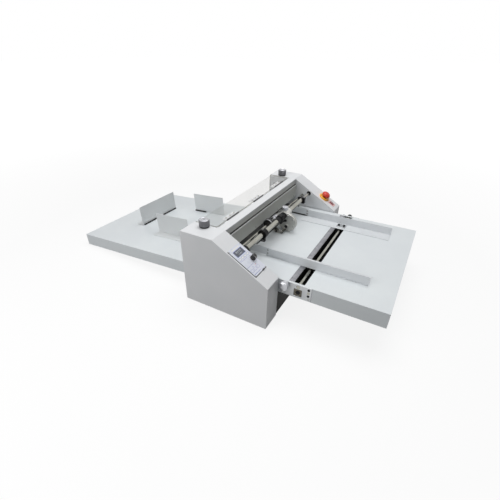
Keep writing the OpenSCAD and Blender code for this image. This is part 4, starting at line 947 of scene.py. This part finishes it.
def control_panel():
    """A screen-printed polyester film on a black plate that shows as a painted shadow line along its outer
    and lower edges, with a counter, keys and a speed dial.
    """
    low, high = (-OUTER_X + 5, 48), (-INNER_X - 1, 160)
    centre_x = (low[0] + high[0]) / 2
    knob_x = -291.7
    knob_up = 96
    panel = Shape("control_panel_printed")
    outline = round_rectangle(high[0] - low[0], high[1] - low[1], 3, (centre_x, (low[1] + high[1]) / 2))
    panel.plate(black_moulding, outline, -0.2, 0.5, CONSOLE, 0.1)
    # The black plate shows only along the film's outer and lower edges: a painted shadow line under the
    # lifted film.
    shade = 2.4
    outline = round_rectangle(high[0] - low[0] - shade, high[1] - low[1] - shade, 2,
        (centre_x + shade / 2, (low[1] + high[1]) / 2 + shade / 2))
    panel.plate(panel_film, outline, 0.4, 1.15, CONSOLE, 0.2)
    top = 1.1
    printed = top + 0.12
    shown = (-311, 137)
    panel.plate(blue_ink, round_rectangle(44, 22, 2, shown), top, printed, CONSOLE, 0)
    panel.plate(display_glass, round_rectangle(42, 20, 1.6, shown), top, top + 0.3, CONSOLE, 0.1)
    for digits, size, up in (("8 0 5 0", 9, 4), ("1 2 0 0", 6, -5.5)):
        spot = CONSOLE @ Matrix.Translation((shown[0], shown[1] + up, top + 0.32))
        panel.lettering(digit_ink, digits, size, spot)
    panel.plate(white_ink, round_rectangle(40, 4, 1, (shown[0], 153.5)), top, top + 0.15, CONSOLE, 0)
    for k in range(4):
        key = (-333 + 14 * k, 118)
        panel.plate(blue_ink, round_rectangle(10, 7, 1.5, key), top, printed, CONSOLE, 0)
        panel.plate(white_ink, round_rectangle(8.6, 5.6, 1, key), top, top + 0.3, CONSOLE, 0.1)
    for k in range(11):
        turn = math.radians(225 - 27 * k)
        length = 3.4 if k % 5 == 0 else 2.2
        place = CONSOLE @ Matrix.Translation((knob_x, knob_up, 0)) @ Matrix.Rotation(turn, 4, "Z")
        panel.block(black_ink, (10.4, -0.3, top), (10.4 + length, 0.3, printed), place, 0)
    for up, ink_used in ((110, lilac_ink), (84, lilac_ink), (56, blue_ink)):
        panel.block(ink_used, (low[0] + 4, up, top), (low[0] + 40, up + 1, printed), CONSOLE, 0)
    for k in range(3):
        key = (-334 + 16 * k, 69)
        panel.plate(lilac_ink, round_rectangle(13, 10, 2, key), top, printed, CONSOLE, 0)
        panel.plate(panel_film, round_rectangle(11.4, 8.4, 1.4, key), top, top + 0.35, CONSOLE, 0.15)
        panel.turn((digit_ink, blue_ink, red_moulding)[k], [(1.2, 0), (1.2, 0.2), (0.9, 0.3)],
            CONSOLE @ Matrix.Translation((key[0], 78, top)), 20)
    catch = (-296, 50)
    panel.plate(black_moulding, round_rectangle(11, 4.2, 1, catch), 1, 3, CONSOLE, 0.4)
    for x in (low[0] + 4, high[0] - 4):
        for up in (52.5, 156):
            panel.turn(ground_steel, [(1.8, 1), (1.8, 1.35), (1.5, 1.5), (0.6, 1.5, 6), (0.5, 1.2, 6)],
                CONSOLE @ Matrix.Translation((x, up, 0)), 20)
    panel.settle("frame", slot_of("control_panel"), "control_panel")
    knob = Shape("speed_knob_moulded")
    place = CONSOLE @ Matrix.Translation((knob_x, knob_up, 1.5))
    knob.turn(ground_steel, [(3, -11), (3, 1)], place, 24)
    skirt = [(9, 0), (9, 2.2), (8.2, 3), (8.2, 4, "flute"), (7.7, 13.4, "flute"), (7, 14.6), (6, 15), (4, 15)]
    knob.turn(black_moulding, skirt, place, 108, 18, 0.9)
    knob.turn(brushed_aluminium, [(5.2, 14.6), (5.2, 15)], place, 40)
    line = place @ Matrix.Rotation(math.radians(225), 4, "Z")
    knob.block(white_ink, (5.4, -0.5, 14.4), (8.6, 0.5, 14.95), line, 0.1)
    knob.block(white_ink, (8.3, -0.5, 0.6), (9.05, 0.5, 2.4), line, 0.1)
    knob.settle("speed_knob", slot_of("speed_knob"), "speed_knob")


def stop_button():
    """A mushroom stop button: gloss red over a yellow base with a rounded shoulder, and a black body under
    the base.
    """
    place = CONSOLE @ Matrix.Translation((CONSOLE_X, 73, 0))
    base = Shape("stop_base_moulded")
    outer = [(23, 0), (23, 3.4), (22.2, 4.8), (20.6, 5.8), (18.6, 6), (14.6, 6), (13.6, 5), (11, 5)]
    outer += [(6.05, 5), (6.05, -20), (11, -20), (11, 0)]
    base.turn(yellow_moulding, outer, place, 72, bore=True)
    collar = [(13.2, 4.6), (13.2, 5.9), (12.4, 6), (6.4, 6), (6.4, 4.6)]
    base.turn(yellow_moulding, collar, place, 48, bore=True)
    base.turn(black_moulding, [(11, -40), (11, -1)], place, 40)
    base.settle("frame", slot_of("stop_base"), "stop_base")
    head = Shape("stop_button_moulded")
    rings = [(6, -14), (6, 11.4), (9.5, 11.5), (16.6, 12.8), (17.8, 14), (18, 15.6), (17.6, 17.6)]
    rings += [(16.4, 20), (14.2, 22.4), (11, 24.4), (7.4, 25.6), (3.6, 25.95), (1.2, 26)]
    head.turn(red_moulding, rings, place, 72)
    head.settle("stop_button", slot_of("stop_button"), "stop_button")


def power_switch():
    place = CONSOLE @ Matrix.Translation((CONSOLE_X, 31, 0))
    softened("switch_bezel", pink_moulding, 0.5, 3)
    softened("power_rocker", rocker_moulding, 0.5, 3)
    marks = Shape("rocker_marks")
    rest_tilt = 8
    tilt = place @ Matrix.Rotation(math.radians(rest_tilt), 4, "X")
    ramp = math.radians(9.1)
    for mark, y, lean in (("I", 5, -ramp), ("O", -5, ramp)):
        spot = tilt @ Matrix.Translation((0, y, 4.23)) @ Matrix.Rotation(lean, 4, "X")
        marks.lettering(white_ink, mark, 6, spot, 0.06)
    marks.settle("power_rocker", "rocker_plastic")


def power_inlet():
    softened("power_inlet", black_moulding, 0.4)
    low, high = span("power_inlet")
    x = (low.x + high.x) / 2
    z = (low.z + high.z) / 2
    pins = Shape("inlet_pins")
    for dx, dz in ((-7, -2), (7, -2), (0, 2)):
        pin_low = (x + dx - 1, REAR_Y - 16.4, z + dz - 2)
        pins.block(hard_chrome, pin_low, (x + dx + 1, REAR_Y - 1.5, z + dz + 2), Matrix(), 0.4)
    pins.settle("frame", "steel")
    softened("control_electronics", board_resin, 0.2)


# Delivery stops


def delivery_stops():
    """Bent steel stops on black magnet strips. A strip lies on the table before its stop's face."""
    on_table = DELIVERY.inverted()
    rear_face, left_face, right_face = 440.95, -117.95, 139.95
    strips = {
        "rear_stop": lambda c: (on_table @ c).y < rear_face,
        "left_stop": lambda c: c.x > left_face,
        "right_stop": lambda c: c.x < right_face,
    }
    for node, test in strips.items():
        softened(node, stop_coat, 0.3, 2, [(test, black_rubber)])


sheet_metal()
housing_screws()
rubber_feet()
slot_fittings()
scale_strip()
side_guides()
side_knobs()
feed_bar()
feed_head()
separator()
thumb_knob()
clutch_and_roller()
feed_wheel()
creasing_unit()
pressure_knobs()
clear_cover()
control_panel()
stop_button()
power_switch()
power_inlet()
delivery_stops()


# The studio: a pale floor, a white surround and soft lamps


def seen(tree):
    """1 for a ray that shows white, from the camera, a reflection or through the cover, and 0 for others."""
    path = add(tree, "LightPath").outputs
    either = add(tree, "Math", {0: path["Is Camera Ray"], 1: path["Is Glossy Ray"]}, operation="MAXIMUM")
    inputs = {0: either.outputs[0], 1: path["Is Transmission Ray"]}
    return add(tree, "Math", inputs, operation="MAXIMUM").outputs[0]


def studio_floor():
    """A pale floor that shows white to the camera and in reflections, and gives the object little bounce."""
    finish, tree, place = blank("studio_floor")
    away = add(tree, "VectorMath", {0: place}, operation="LENGTH").outputs["Value"]
    fill = remapped(tree, away, 1.0, 3.0, 0.85, 1.0)
    cloth = add(tree, "BsdfDiffuse", {"Color": ink("6A6A6A")}).outputs[0]
    glow = add(tree, "Emission", {"Color": ink("FFFFFF"), "Strength": fill}).outputs[0]
    bright = add(tree, "AddShader", {0: cloth, 1: glow}).outputs[0]
    show(tree, add(tree, "MixShader", {0: seen(tree), 1: cloth, 2: bright}))
    reach = 30.0
    bm = bmesh.new()
    bmesh.ops.create_grid(bm, x_segments=1, y_segments=1, size=reach)
    mesh = bpy.data.meshes.new("floor")
    bm.to_mesh(mesh)
    bm.free()
    mesh.materials.append(finish)
    floor = bpy.data.objects.new("floor", mesh)
    bpy.context.scene.collection.objects.link(floor)


def surround():
    world = bpy.data.worlds.new("surround")
    bpy.context.scene.world = world
    world.use_nodes = True
    tree = world.node_tree
    tree.nodes.clear()
    strength = remapped(tree, seen(tree), 0.0, 1.0, 0.17, 1.0)
    light = add(tree, "Background", {"Color": ink("FFFFFF"), "Strength": strength})
    add(tree, "OutputWorld", {"Surface": light.outputs[0]})


def softbox(name, place, target, size, watts):
    lamp = bpy.data.lights.new(name, "AREA")
    lamp.shape = "SQUARE"
    lamp.size = size
    lamp.energy = watts
    holder = bpy.data.objects.new(name, lamp)
    holder.location = place
    aim = Vector(target) - Vector(place)
    holder.rotation_euler = aim.to_track_quat("-Z", "Y").to_euler()
    bpy.context.scene.collection.objects.link(holder)


def camera():
    """The photograph's view. The place, angle and lens were worked out from the machine's straight edges."""
    focal_px = 323.6
    centre_px = (243.31, 265.08)
    picture_px = 500
    azimuth, elevation, roll = math.radians(-59.74), math.radians(33.59), math.radians(0.09)
    lens = bpy.data.cameras.new("camera")
    lens.sensor_width = 36.0
    lens.lens = focal_px / picture_px * lens.sensor_width
    lens.shift_x = (picture_px / 2 - centre_px[0]) / picture_px
    lens.shift_y = (centre_px[1] - picture_px / 2) / picture_px
    lens.clip_start = 0.05
    lens.clip_end = 100
    holder = bpy.data.objects.new("camera", lens)
    turn = Matrix.Rotation(azimuth, 4, "Z") @ Matrix.Rotation(math.pi / 2 - elevation, 4, "X")
    turn = turn @ Matrix.Rotation(roll, 4, "Z")
    holder.matrix_world = Matrix.Translation((-1.01355, -0.60762, 0.72471)) @ turn
    bpy.context.scene.collection.objects.link(holder)
    bpy.context.scene.camera = holder


studio_floor()
surround()
softbox("overhead_softbox", (0.2, -0.25, 2.3), (0, -0.1, 0), 1.8, 38)
softbox("left_softbox", (-2.0, 0.6, 1.0), (-0.3, 0.1, 0.1), 1.4, 20)
camera()
bpy.context.scene.view_settings.view_transform = "Standard"
